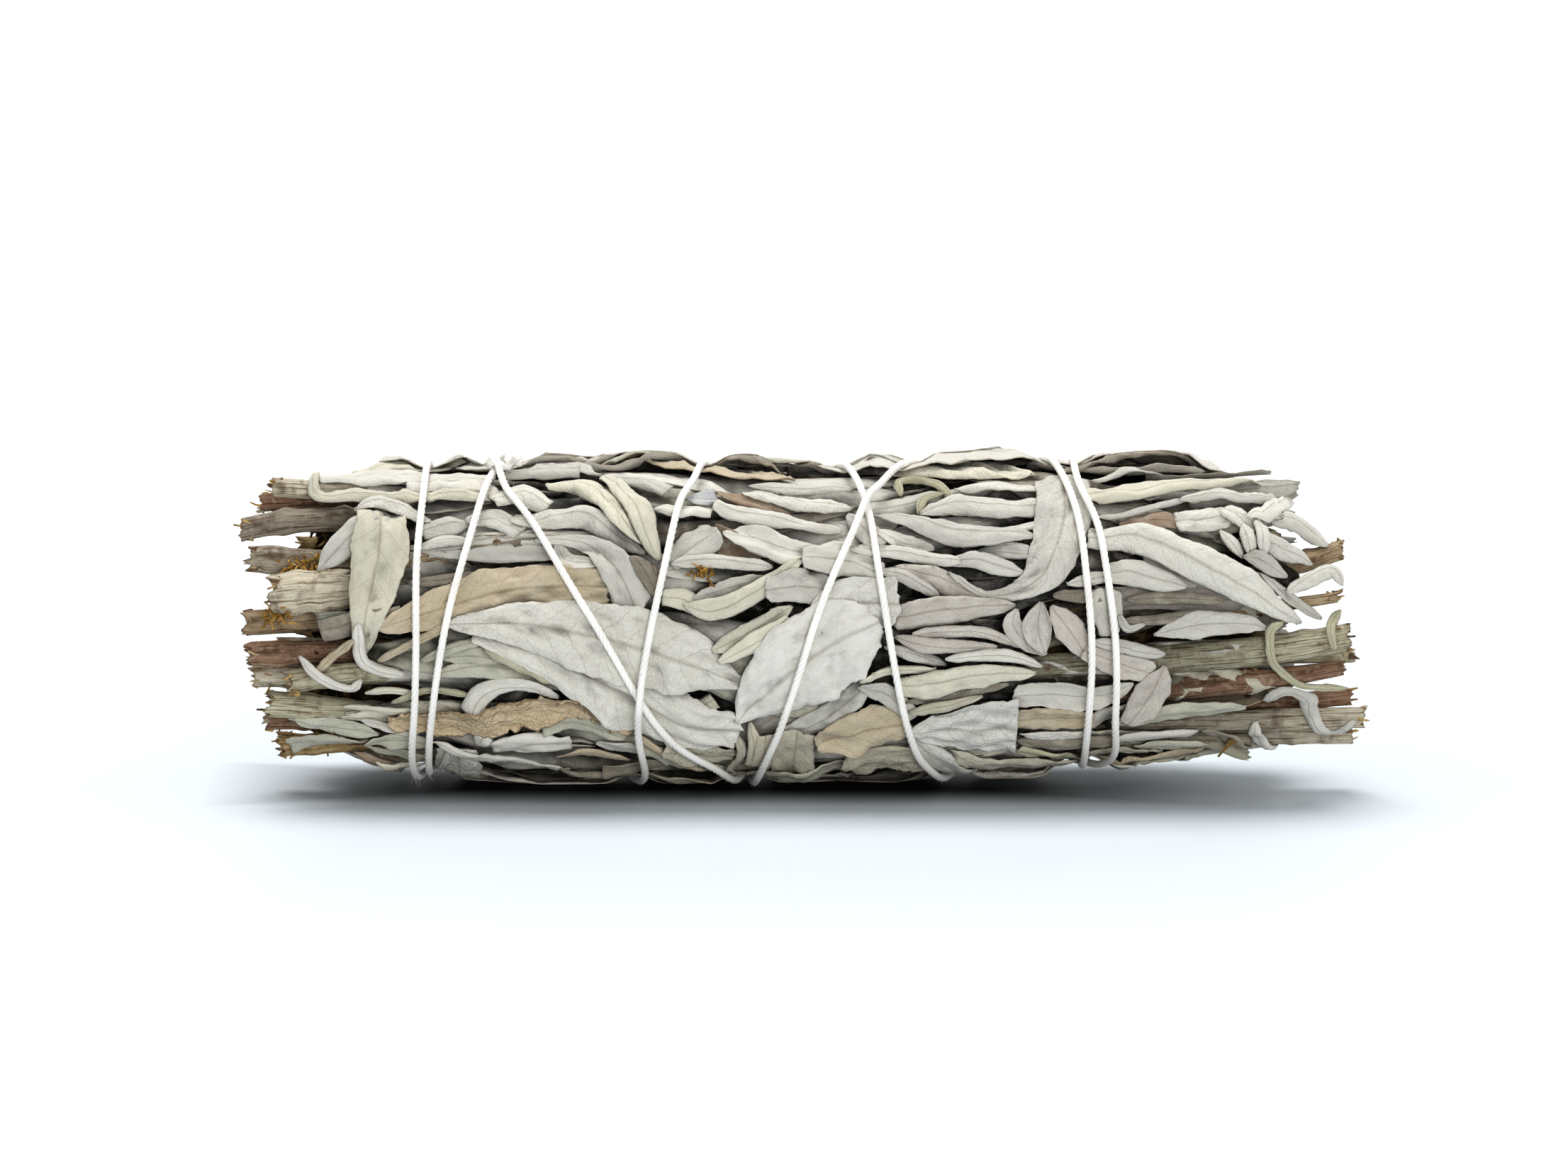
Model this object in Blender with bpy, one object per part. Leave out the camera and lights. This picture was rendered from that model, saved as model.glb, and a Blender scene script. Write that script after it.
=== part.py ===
"""Sage smudge stick: dried leaves and cut stems wound with one cotton string, lying on a surface.

Lengths are in millimetres until a mesh is made. X runs along the bundle. A place on the bundle is given by x,
by an angle round it (0 at the front, positive upwards) and by a height over its wound outline.
"""

import math
import random

import bpy
import numpy as np
from mathutils import Vector

for item in list(bpy.data.objects):
    bpy.data.objects.remove(item, do_unlink=True)

MM = 0.001
AXIS_UP = 19.15
AXIS_BACK = 0.0
FLOOR_CUT = 40.0
CLEAR = 0.34

# The outline of the bundle as it is wound: how far its top and its bottom stand from the axis.
TOP = ((-66, 16.4), (-58, 17.8), (-52, 18.9), (-35, 19.4), (-20, 19.5), (0, 18.7), (15, 19.3), (27, 19.8),
       (36, 19.2), (42, 19.6), (52, 19.0), (58, 15.5), (66, 12.5))
BOTTOM = ((-66, -15.0), (-56, -16.6), (-48, -18.3), (-35, -19.3), (0, -19.4), (20, -18.9), (32, -17.6),
          (42, -16.3), (52, -14.8), (66, -14.0))

random.seed(7)


# Material, one for each piece

def finish(piece, colour, roughness):
    """Gives a piece its own plain material."""
    material = bpy.data.materials.new(piece.name)
    material.use_nodes = True
    shader = material.node_tree.nodes["Principled BSDF"]
    shader.inputs["Base Color"].default_value = (*colour, 1.0)
    shader.inputs["Roughness"].default_value = roughness
    piece.data.materials.clear()
    piece.data.materials.append(material)


def new_piece(name, points, faces, collection=None):
    """Makes an object from points in millimetres, moved so that the bundle rests on z = 0."""
    points = (np.asarray(points, float) + (0.0, AXIS_BACK, AXIS_UP)) * MM
    mesh = bpy.data.meshes.new(name)
    mesh.from_pydata(points.tolist(), [], [tuple(int(i) for i in face) for face in faces])
    mesh.update()
    piece = bpy.data.objects.new(name, mesh)
    (collection or bpy.context.scene.collection).objects.link(piece)
    return piece


def combine(target, operation, helpers):
    """Adds a group of closed shapes to a target, or cuts them from it, and removes them."""
    group = bpy.data.collections.new("helpers")
    bpy.context.scene.collection.children.link(group)
    for helper in helpers:
        for owner in list(helper.users_collection):
            owner.objects.unlink(helper)
        group.objects.link(helper)
    modifier = target.modifiers.new(operation.lower(), "BOOLEAN")
    modifier.operation = operation
    modifier.operand_type = "COLLECTION"
    modifier.collection = group
    modifier.solver = "MANIFOLD"
    bpy.context.view_layer.objects.active = target
    bpy.ops.object.modifier_apply(modifier=modifier.name)
    for helper in helpers:
        bpy.data.objects.remove(helper, do_unlink=True)
    bpy.data.collections.remove(group)


# Places on the bundle

def outline_radius(x):
    return (np.interp(x, *zip(*TOP)) - np.interp(x, *zip(*BOTTOM))) / 2


def outline_centre(x):
    return (np.interp(x, *zip(*TOP)) + np.interp(x, *zip(*BOTTOM))) / 2


def on_bundle(x, angle, height):
    """The point at this place, in millimetres from the axis."""
    radius = outline_radius(x) + height
    return np.stack([x + 0 * radius, -radius * np.cos(angle), outline_centre(x) + radius * np.sin(angle)], -1)


def angle_seen(x, z):
    """The angle at which the front outline shows a height z over the axis."""
    return np.arcsin(np.clip((z - outline_centre(x)) / outline_radius(x), -0.985, 0.985))


def through(points, count):
    """Places evenly spaced by parameter on the smooth curve through some points."""
    points = np.asarray(points, float)
    padded = np.vstack([2 * points[0] - points[1], points, 2 * points[-1] - points[-2]])
    place = np.linspace(0, len(points) - 1, count)
    first = np.minimum(place.astype(int), len(points) - 2)
    t = (place - first)[:, None]
    a, b, c, d = (padded[first + k] for k in range(4))
    return 0.5 * (2 * b + (c - a) * t + (2 * a - 5 * b + 4 * c - d) * t**2 + (3 * b - a - 3 * c + d) * t**3)


def tube(centres, radii, sides, turn=0.0):
    """A closed tube along a line of centres. Each ring lies across the line and is kept from twisting."""
    centres = np.asarray(centres, float)
    ahead = np.gradient(centres, axis=0)
    ahead /= np.linalg.norm(ahead, axis=1)[:, None]
    side = np.cross(ahead[0], (0.0, 1.0, 0.3))
    rings = []
    for centre, forward, radius in zip(centres, ahead, radii):
        side = side - forward * np.dot(side, forward)
        side /= np.linalg.norm(side)
        other = np.cross(forward, side)
        angles = turn + 2 * math.pi * np.arange(sides) / sides
        rings.append(centre + radius * (np.cos(angles)[:, None] * side + np.sin(angles)[:, None] * other))
    points = np.vstack(rings)
    faces = []
    for ring in range(len(centres) - 1):
        for k in range(sides):
            a, b = ring * sides + k, ring * sides + (k + 1) % sides
            faces.append((a, b, b + sides, a + sides))
    faces.append(tuple(range(sides))[::-1])
    faces.append(tuple(range(len(points) - sides, len(points))))
    return points, faces


# String: one cord, eight turns, from the knot at the top and back to it.
# Each turn comes down the front through these places (x, height seen) and goes up behind.

STRING_RADIUS = 0.5
STRING_HEIGHT = -0.5
STRING_SIDES = 5
FRONT_TURNS = (
    ((-36.4, 18.4), (-38.6, 11.4), (-40.1, 7.1), (-41.8, -1.0), (-43.0, -9.9), (-43.6, -17.5)),
    ((-43.9, 18.6), (-44.6, 10.0), (-44.5, 0.0), (-44.9, -10.0), (-44.9, -18.0)),
    ((-35.7, 19.0), (-34.0, 17.1), (-30.7, 13.2), (-27.9, 8.6), (-24.7, 3.6), (-22.0, -0.7), (-19.9, -5.1),
     (-15.1, -12.7), (-12.3, -15.3), (-8.0, -18.6)),
    ((6.0, 18.2), (7.6, 15.1), (8.2, 10.6), (9.3, 4.5), (10.0, -0.3), (11.9, -10.3), (14.1, -16.4), (16.0, -18.3)),
    ((29.7, 19.0), (31.7, 14.9), (32.2, 10.1), (32.8, 4.7), (33.2, -1.0), (32.8, -9.9), (32.5, -16.8)),
    ((31.4, 18.8), (33.6, 15.6), (34.3, 11.4), (35.2, 5.8), (35.9, 0.3), (36.0, -4.0), (35.8, -13.0), (34.6, -16.9)),
    ((9.3, 18.0), (7.3, 15.8), (5.2, 11.7), (2.3, 5.8), (0.5, 0.3), (-0.8, -4.4), (-2.7, -10.3), (-4.2, -14.7),
     (-5.7, -18.7)),
    ((-12.3, 18.8), (-13.8, 17.7), (-15.5, 11.2), (-16.8, 5.8), (-17.9, 0.3), (-18.8, -4.4), (-19.2, -8.8),
     (-19.2, -14.2), (-19.0, -18.8)),
)
KNOT = (-35.3, math.radians(79))
KNOT_SIZE = (1.9, 2.0, 1.1)
TAIL = ((-34.2, math.radians(96)), (-34.1, math.radians(87)), (-32.8, math.radians(83)), (-31.9, math.radians(85)))


def string_places():
    """The whole route as (x, angle), the angle falling by a full turn each time round."""
    route = []
    for turn, front in enumerate(FRONT_TURNS):
        for x, z in front:
            route.append((x, float(angle_seen(x, z)) - 2 * math.pi * turn))
    for x, angle in TAIL:
        route.append((x, angle - 2 * math.pi * len(FRONT_TURNS)))
    route = np.array(route)
    spaced = through(route, 1600)
    length = np.concatenate([[0], np.cumsum(np.hypot(np.diff(spaced[:, 0]), 19.3 * np.diff(spaced[:, 1])))])
    even = np.linspace(0, length[-1], 1400)
    return np.stack([np.interp(even, length, spaced[:, 0]), np.interp(even, length, spaced[:, 1])], -1), even


def string_line():
    """Centre line of the cord. Where a later turn crosses an earlier one it is raised over it.

    On the underside the bundle's weight presses the cord in, and there it is the earlier turn that lies deeper."""
    places, length = string_places()
    under = (places[:, 1] + math.pi / 2 + math.pi) % (2 * math.pi) - math.pi
    weight = np.exp(-0.5 * (under / math.radians(14)) ** 2)
    base = STRING_HEIGHT - 0.35 * weight
    raised, lowered = np.zeros(len(places)), np.zeros(len(places))
    for i in range(len(places)):
        earlier = length < length[i] - 15
        apart = (places[:, 1] - places[i, 1] + math.pi) % (2 * math.pi) - math.pi
        gap = np.where(earlier, np.hypot(places[:, 0] - places[i, 0], 19.3 * apart), 99.0)
        if gap.min() < 4:
            over = 1.38 * np.exp(-((gap / 1.65) ** 2))
            raised[i] = (raised + over * (1 - weight)).max(where=gap < 4, initial=0.0)
            lowered = np.maximum(lowered, over * weight[i])
    return places, base + raised - lowered


def thinned(points, within):
    """The indices of the points needed to stay within a distance of the whole line."""
    keep, spans = {0, len(points) - 1}, [(0, len(points) - 1)]
    while spans:
        a, b = spans.pop()
        if b - a < 2:
            continue
        chord = points[b] - points[a]
        rest = points[a + 1:b] - points[a]
        t = np.clip(rest @ chord / max(chord @ chord, 1e-9), 0, 1)
        off = np.linalg.norm(rest - t[:, None] * chord, axis=1)
        far = int(off.argmax())
        if off[far] > within:
            keep.add(a + 1 + far)
            spans += [(a, a + 1 + far), (a + 1 + far, b)]
    return sorted(keep)


places, heights = string_line()
string_all = on_bundle(places[:, 0], places[:, 1], heights)
kept = thinned(string_all, 0.27)
string_places_kept, string_heights_kept = places[kept], heights[kept]
string_centres = string_all[kept]


def ball(centre, along, across, up, sizes, grow=0.0):
    """A squashed ball of few faces, for the knot and for the hollow it sits in."""
    points, faces = [], []
    rings, sides = 5, 8
    for ring in range(1, rings):
        polar = math.pi * ring / rings
        for k in range(sides):
            turn = 2 * math.pi * k / sides
            local = (math.sin(polar) * math.cos(turn), math.sin(polar) * math.sin(turn), math.cos(polar))
            points.append(centre + sum((s + grow) * c * v for s, c, v in zip(sizes, local, (along, across, up))))
    points.append(centre + (sizes[2] + grow) * up)
    points.append(centre - (sizes[2] + grow) * up)
    last = (rings - 1) * sides
    for k in range(sides):
        n = (k + 1) % sides
        faces.append((last, k, n))
        faces.append((last + 1, last - sides + n, last - sides + k))
        for ring in range(rings - 2):
            a = ring * sides
            faces.append((a + k, a + sides + k, a + sides + n, a + n))
    return points, faces


def knot_ball(name, grow=0.0):
    x, angle = KNOT
    up = np.array([0.0, -math.cos(angle), math.sin(angle)])
    across = np.array([0.0, math.sin(angle), math.cos(angle)])
    centre = on_bundle(np.array(x), np.array(angle), np.array(0.1))
    return new_piece(name, *ball(centre, np.array([1.0, 0.0, 0.0]), across, up, KNOT_SIZE, grow))


def string_piece():
    points, faces = tube(string_centres, np.full(len(string_centres), STRING_RADIUS), STRING_SIDES)
    cord = new_piece("string", points, faces)
    combine(cord, "UNION", [knot_ball("knot")])
    return cord


def string_slots():
    """Open grooves for the cord: narrow under it and wider outwards, one closed cutter for each stretch."""
    deep, high = STRING_RADIUS + CLEAR, 4.5
    cutters = []
    stretch = 14
    for start in range(0, len(string_centres) - 1, stretch):
        stop = min(start + stretch + 1, len(string_centres))
        # A little past both ends, so that neighbouring stretches overlap.
        line = string_centres[start:stop].copy()
        line[0] -= 0.4 * (line[1] - line[0]) / np.linalg.norm(line[1] - line[0])
        line[-1] += 0.4 * (line[-1] - line[-2]) / np.linalg.norm(line[-1] - line[-2])
        ahead = np.gradient(line, axis=0)
        ahead /= np.linalg.norm(ahead, axis=1)[:, None]
        angles = string_places_kept[start:stop, 1]
        up = np.stack([0 * angles, -np.cos(angles), np.sin(angles)], -1)
        side = np.cross(ahead, up)
        side /= np.linalg.norm(side, axis=1)[:, None]
        corners = ((-deep, -deep), (deep, -deep), (deep, 0.3), (1.7, high), (-1.7, high), (-deep, 0.3))
        points = np.concatenate([[p + a * s + b * u for a, b in corners] for p, s, u in zip(line, side, up)])
        faces = []
        count = len(corners)
        for ring in range(len(line) - 1):
            for k in range(count):
                a, b = ring * count + k, ring * count + (k + 1) % count
                faces.append((a, a + count, b + count, b))
        faces.append(tuple(range(count)))
        faces.append(tuple(range(len(points) - count, len(points)))[::-1])
        cutters.append(new_piece("slot", points, faces))
    cutters.append(knot_ball("slot", CLEAR))
    return cutters


# Stems: the ones whose ends show, then the hidden ones, packed behind them.
# Each: places (x, height seen), radii at those places, how deep its centre lies under the outline.

LEFT_STEMS = (
    (((-61.6, 16.4), (-56, 16.0), (-50, 15.6), (-38, 14.5)), (1.1, 1.05, 1.1, 0.8), 2.2),
    (((-63.2, 14.2), (-57, 14.6), (-50, 14.6), (-34, 12.6)), (1.0, 0.95, 1.0, 0.8), 3.0),
    (((-65.0, 11.8), (-60, 12.5), (-54, 13.1), (-44, 12.0), (-26, 9.5)), (1.25, 1.45, 1.2, 1.2, 0.9), 4.2),
    (((-63.8, 8.8), (-59, 8.6), (-50, 8.4), (-30, 7.0)), (1.5, 1.2, 1.3, 0.9), 3.4),
    (((-61.0, 5.3), (-57.5, 4.8), (-53, 6.0), (-46, 5.6), (-28, 4.0)), (2.2, 2.4, 2.0, 1.6, 1.2), 4.4),
    (((-64.6, 1.4), (-59, 1.5), (-48, 2.0), (-26, 1.6)), (1.45, 1.3, 1.3, 1.0), 4.6),
    (((-64.0, -1.9), (-59, -1.6), (-48, -1.4), (-26, -1.0)), (1.3, 1.25, 1.2, 0.9), 4.4),
    (((-60.8, -1.2), (-54, -1.0), (-40, -1.0)), (0.8, 0.8, 0.7), 2.6),
    (((-63.5, -4.6), (-58, -4.4), (-48, -4.4), (-24, -4.0)), (1.4, 1.3, 1.2, 0.9), 5.4),
    (((-58.8, -4.8), (-54, -3.9), (-48, -3.6), (-36, -4.0)), (1.35, 1.3, 1.1, 0.8), 2.4),
    (((-61.5, -7.8), (-57, -8.0), (-53, -8.3), (-49.2, -8.5)), (1.5, 1.4, 1.1, 0.8), 2.3),
    (((-62.4, -10.6), (-55, -10.2), (-42, -9.8), (-26, -9.0)), (1.3, 1.2, 1.1, 0.9), 5.6),
    (((-60.8, -13.6), (-56, -13.8), (-50, -13.5), (-44, -13.2)), (1.45, 1.0, 0.6, 0.45), 1.9),
)
MIDDLE_STEM = (((-46.0, 9.2), (-40, 10.2), (-35.4, 10.8), (-29.0, 11.2), (-24.5, 11.0)), (1.1, 1.15, 1.3, 1.1, 0.9), 2.8)
RIGHT_STEMS = (
    (((23.0, -3.6), (30, -2.9), (40, -2.5), (46, -2.1), (55, -1.0), (62.6, 0.1)), (1.2, 1.6, 1.65, 1.75, 1.7, 1.6), 3.3),
    (((36, -6.4), (44, -6.1), (51, -5.1), (62.3, -3.7)), (1.2, 1.4, 1.3, 0.8), 3.2),
    (((48, -2.9), (56, -2.7), (63.6, -2.7)), (0.6, 0.65, 0.6), 1.4),
    (((30, -10.6), (42, -10.6), (52, -10.3), (65.0, -10.2)), (0.8, 1.1, 1.2, 1.2), 2.9),
    (((40, -8.3), (52, -8.6), (58, -8.4), (63.6, -8.0)), (0.8, 0.9, 1.0, 0.95), 4.4),
    (((34, -12.4), (45, -12.6), (55, -12.8), (63.9, -12.8)), (0.9, 1.1, 1.15, 1.0), 2.3),
    (((30, 3.4), (48, 3.2), (57, 3.9), (61.5, 4.7)), (0.9, 0.8, 0.7, 0.6), 3.6),
    (((32, 4.6), (46, 5.8), (56, 7.5), (61.9, 9.6)), (1.0, 1.1, 1.2, 1.05), 4.6),
)
STEM_SIDES = 6


def stem_axis(row, count):
    """Centre line of a stem from its places, as seen from the front, at a depth under the outline."""
    shown, radii, depth = row
    shown = through(shown, count)
    radii = np.interp(np.linspace(0, len(radii) - 1, count), np.arange(len(radii)), radii)
    inner = outline_radius(shown[:, 0]) - depth
    level = shown[:, 1] - outline_centre(shown[:, 0])
    back = -np.sqrt(np.maximum(inner**2 - level**2, 1.0))
    # One depth for a whole stem keeps it straight.
    back = 0.15 * back + 0.85 * back.mean()
    return np.stack([shown[:, 0], back, shown[:, 1]], -1), radii


def hidden_stems(x_from, x_to, number, reach):
    """Places for stems inside the bundle, on a spiral that fills a circle evenly."""
    rows = []
    for k in range(number):
        radius = reach * math.sqrt((k + 0.5) / number)
        turn = k * 2.39996
        y, z = radius * math.cos(turn) + 1.0, radius * math.sin(turn) + 0.5
        size = random.uniform(1.0, 1.55)
        end = x_from + random.uniform(0.0, 4.5) * (1 if x_to > x_from else -1)
        bend = random.uniform(-0.7, 0.7)
        line = np.array([(end, y * 1.04, z * 1.04), (0.5 * (end + x_to), y + bend, z - bend), (x_to, y * 0.9, z * 0.9)])
        rows.append((line, np.array([size, size * 0.96, size * 0.8])))
    return rows


def clearance(line, radii, others):
    """Smallest gap between a stem and the ones already placed."""
    samples = np.linspace(0, 1, 30)
    def spread(values):
        return np.stack([np.interp(samples, np.linspace(0, 1, len(values)), values[:, k]) for k in range(3)], -1)
    mine, width = spread(line), np.interp(samples, np.linspace(0, 1, len(radii)), radii)
    smallest = 99.0
    for other, other_radii in others:
        theirs = spread(other)
        their_width = np.interp(samples, np.linspace(0, 1, len(other_radii)), other_radii)
        gap = np.linalg.norm(mine[:, None] - theirs[None], axis=-1) - width[:, None] - their_width[None]
        smallest = min(smallest, gap.min())
    return smallest


def pushed_clear(line, radii, others, direction):
    """Moves a stem step by step until it clears the ones before it."""
    for _ in range(80):
        if clearance(line, radii, others) > CLEAR + 0.1:
            return line
        line = line + direction
    return None


def placed_stems():
    """Every stem as (name, centre line, radii)."""
    line, radii = stem_axis(MIDDLE_STEM, 5)
    stems, done = [("stem_front", line, radii)], [(line, radii)]
    for side, shown, hidden in (
        ("left", LEFT_STEMS, hidden_stems(-60.5, -14, 11, 11.0)),
        ("right", RIGHT_STEMS, hidden_stems(57.0, 10, 7, 9.5)),
    ):
        number = 0
        for row in shown:
            line, radii = stem_axis(row, len(row[0]))
            line = pushed_clear(line, radii, done, np.array([0, 0.3, 0]))
            number += 1
            stems.append((f"stem_{side}_{number:02d}", line, radii))
            done.append((line, radii))
        for line, radii in hidden:
            line = pushed_clear(line, radii, done, np.array([0, 0.25, 0]))
            if line is None or np.hypot(line[:, 1], line[:, 2]).max() > 15.2:
                continue
            number += 1
            stems.append((f"stem_{side}_{number:02d}", line, radii))
            done.append((line, radii))
    return stems


# Leaves of the front, lowest layer first: form, widths and places (x, height seen) from one end to the other.

FRONT_LEAVES = (
    ("flat", (4, 6, 5), ((-57, 17.6), (-48, 18.8), (-36, 18.8))),
    ("flat", (3, 4, 3.5), ((-46, 17.4), (-41, 17.6), (-35.5, 17.6))),
    ("roll", (1.4, 2.6, 2.6, 2.2), ((-57, 18.2), (-56.2, 16.6), (-50, 16.8), (-37, 16.9))),
    ("roll", (1.2, 3, 3.6, 3), ((-56, 8.8), (-54, 10.6), (-51.5, 12.8), (-49, 14))),
    ("roll", (2.6, 3.2, 2.4), ((-55.6, 1.3), (-52, 2.2), (-46, 3.6))),
    ("flat", (1.6, 3.2, 2.6), ((-39, 14.4), (-36, 14.8), (-32.5, 13.2))),
    ("flat", (1.6, 5.2, 6.4, 6, 4.6), ((-49, 1.8), (-42, 4.2), (-35, 6.3), (-28, 7), (-22.3, 7))),
    ("cup", (5, 6.4, 6.2, 4.6, 2.6, 1.2), ((-48.8, 15.6), (-48.6, 12.5), (-49, 9), (-49.8, 5), (-50.5, 1),
     (-50.8, -1.6))),
    ("roll", (2, 3.4, 2.4), ((-36, 16.4), (-33, 17.2), (-29.4, 16))),
    ("roll", (1.4, 2.6, 3, 2.4, 1.2), ((-34, 14.4), (-29, 14.4), (-25, 14.6), (-21.5, 12.6), (-18.3, 11))),
    ("roll", (2.4, 3.6, 3.2, 2.6, 1.2), ((-29.8, 17.9), (-25.8, 17.9), (-23, 16.2), (-21, 13.9),
     (-18.6, 11.8))),
    ("roll", (1.2, 2.8, 3.4, 2.6, 1.4), ((-23.6, 19.1), (-21, 17), (-19, 14.9), (-18, 12.6), (-16.7, 10.2))),
    ("flat", (1, 2, 3.4, 4.4, 4.6), ((-31, 12.2), (-26, 12.2), (-23, 10.6), (-20.9, 8), (-19.4, 4.4))),
    ("flat", (1.4, 3.4, 2.4), ((-13.6, 17.2), (-11.6, 16.8), (-9.9, 16.9))),
    ("cup", (2.4, 3.4, 1.6), ((-11.2, 13.4), (-8.6, 12), (-5, 10.3))),
    ("flat", (1.6, 4.2, 4.4, 2.2), ((-9.4, 13), (-5, 12.2), (-1.4, 11), (1.6, 11.2))),
    ("flat", (2.2, 4.6, 4), ((-15.4, 9.7), (-12.8, 11.6), (-10, 13.2))),
    ("flat", (2, 3, 2), ((-16.3, 5.8), (-14, 5.6), (-11.6, 4.2))),
    ("flat", (3, 4.4, 3.2), ((-4.4, 6.4), (0.4, 7), (5.4, 6))),
    ("flat", (2.4, 4.8, 2.6), ((-0.2, 9.9), (4.2, 10.2), (9, 8.5))),
    ("roll", (1.6, 3.2, 2.6), ((5, 15.2), (7.4, 13.2), (8.6, 11.4))),
    ("roll", (1.2, 2.8, 3, 2.4), ((13.4, 15.3), (18, 16.1), (23, 15.8), (28, 15.8))),
    ("roll", (1.2, 2.2, 3.4, 3.2, 1.4), ((7.8, 15.3), (12, 14.4), (16, 13.3), (21, 12.6), (26.6, 12.9))),
    ("flat", (6.4, 6.4, 5.8, 4.4, 2, 1, 0.6), ((30, 19), (29.9, 15), (28.8, 11), (27, 8), (23.8, 6.3),
     (20.5, 6.2), (16.6, 8.5))),
    ("roll", (3, 3.6, 2.6, 1.2), ((10.4, 3.2), (15, 3.9), (20, 4.4), (24.3, 4.7))),
    ("cup", (1.4, 3.4, 1.6), ((27.2, 5.2), (26.7, 2), (27.7, -1.3))),
    ("flat", (1.6, 3.8, 1.6), ((28.4, 4.6), (30.6, 1.6), (32.8, -2.3))),
    ("flat", (3.6, 3.8, 2.4), ((34.5, 6.6), (34.9, 3.6), (35.2, 0.8))),
    ("roll", (2.4, 3.6, 2.6, 1.4), ((34.6, 8.5), (38, 8.4), (41.4, 7.4), (44, 6.7))),
    ("flat", (1, 3.6, 3, 1.4), ((40.2, 0.8), (45, 2), (49, 2.1), (53.4, 1.3))),
    ("roll", (2.6, 3.4, 2.8, 2.4, 1.2), ((32.4, 17.1), (38, 17.4), (43, 18.2), (49, 18.5), (54.8, 18))),
    ("roll", (2, 3.4, 2.6, 1.2), ((54, 14.6), (57, 13.6), (59, 12.2), (60.6, 10.8))),
    ("roll", (2.6, 3.8, 3, 1.4), ((51.6, 12.6), (54.5, 11.4), (57, 10.2), (58.8, 9.2))),
    ("flat", (3, 3.8, 3), ((42.8, 14.4), (46, 14.7), (49.2, 15))),
    ("roll", (1.6, 2.2, 1.2), ((51.2, 14.2), (54, 15), (56.9, 16.4))),
    ("flat", (1.4, 2.6, 1.6), ((50.6, 10.2), (53.4, 9.2), (55.8, 7.8))),
    ("roll", (2.6, 3.6, 4.2, 4.2, 3.6, 1.2), ((32.6, 12.5), (38, 12.3), (43, 10.4), (48, 8), (53, 5),
     (57.4, 2))),
    ("flat", (1.6, 3.2, 3.4, 1.6), ((-59.6, -10), (-56, -10.8), (-52.6, -11.8), (-49.2, -12.6))),
    ("flat", (3.2, 2.8, 1.2), ((-60, -14.2), (-55.5, -13.9), (-50.4, -13.7))),
    ("flat", (4.6, 5.4, 5.4), ((-40.2, -14.2), (-40.2, -17), (-40.2, -19.4))),
    ("roll", (1.4, 3, 3, 1.4), ((-36.8, -0.4), (-32.6, -1.7), (-29.4, -3.2), (-25.6, -5.6))),
    ("flat", (3, 4.2, 4.2, 2.6), ((-36.2, -14), (-33, -13.5), (-30, -13.4), (-26.8, -13.4))),
    ("flat", (1.8, 3, 1.6), ((-30.2, -11.2), (-26, -10.4), (-20.6, -12.8))),
    ("flat", (1.6, 3.2, 3.4, 2.2), ((-19.2, -13.6), (-15.6, -15.6), (-12.4, -17.2), (-8.4, -18.4))),
    ("flat", (2.6, 4.4, 3.6), ((-16.2, -13.8), (-11.8, -15), (-7.8, -15.2))),
    ("flat", (2.2, 3.4, 3.2, 1.8), ((-3.2, -12.6), (1, -10.7), (5.2, -7.4), (7.4, -4.8))),
    ("flat", (4.2, 5, 5), ((-0.8, -11.2), (-1.2, -15), (-1.4, -18.6))),
    ("flat", (2, 4, 4.2, 3), ((-6.4, -19), (-2, -18.2), (2.4, -17.4), (7.2, -17.4))),
    ("flat", (4, 6, 5.6, 3.4), ((5, -17.2), (9, -15.8), (13.4, -16.2), (17.6, -18))),
    ("flat", (3.8, 6.2, 6.4, 4.6), ((1.6, -12.8), (5.2, -11.6), (8.6, -10.8), (12.2, -10.6))),
    ("flat", (2, 3.8, 6.4, 8.4, 8, 5.4), ((-38, 1.4), (-31, -0.9), (-25, -3.8), (-18.6, -7.8), (-13, -10.6),
     (-7.4, -11.4))),
    ("flat", (1.4, 5, 8.2, 10.2, 9, 2), ((-41, 2.4), (-33, 2.6), (-26, 1.4), (-18.6, -0.6), (-13, -2.4),
     (-7.2, -5.2))),
    ("flat", (4.6, 6.4, 6), ((1.2, 3), (5.6, 5), (10.9, 5))),
    ("flat", (3, 9, 11.4, 10.6, 5.6), ((-7.4, -9.4), (-3.6, -5.8), (0.6, -2), (4.6, 0.8), (8.6, 2.6))),
    ("roll", (2.6, 3.8, 3.2, 1.4), ((10.6, -5.6), (15, -4.9), (20.4, -3.9), (26.7, -3.8))),
    ("cup", (3, 3.6, 3.4, 1.2), ((24.2, -6.8), (29, -6.8), (33.6, -7.2), (38, -5.6))),
    ("flat", (3.2, 3.8, 3.2), ((24.2, -10.3), (28.4, -10), (33.6, -10.4))),
    ("flat", (2.6, 3.4, 2), ((24.4, -14.4), (28.6, -15.2), (32.6, -17.2))),
    ("flat", (1.6, 3.6, 3.8, 2.2), ((17, -14.8), (21.6, -17.2), (27, -17.3), (32, -17))),
    ("flat", (1.6, 3.6, 3), ((12.4, -12.8), (15.6, -15.6), (19.2, -18.6))),
    ("flat", (0.8, 5.2, 7.6, 9, 10), ((11.7, -11.7), (15, -11.6), (18, -11.5), (21, -11.4), (24.6, -11.2))),
    ("flat", (2.2, 3.4, 3.2, 1.4), ((35.6, -11.2), (41, -10), (46, -9.5), (51.2, -9.4))),
    ("flat", (2.2, 4, 3), ((32.2, -0.9), (36, -2.6), (40.2, -4.2))),
    ("flat", (1.6, 4.2, 4.2, 2.4), ((41.6, -3.2), (40.4, -6), (39, -8.6), (37.4, -10.8))),
)
DRY_LEAF = ((2.6, 3.6, 3.4, 3.8, 2.2, 1.2), ((-48, -10.2), (-42, -10.6), (-36, -9.9), (-30, -8.6), (-25, -8.4), (-20.8, -11.2)))

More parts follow.
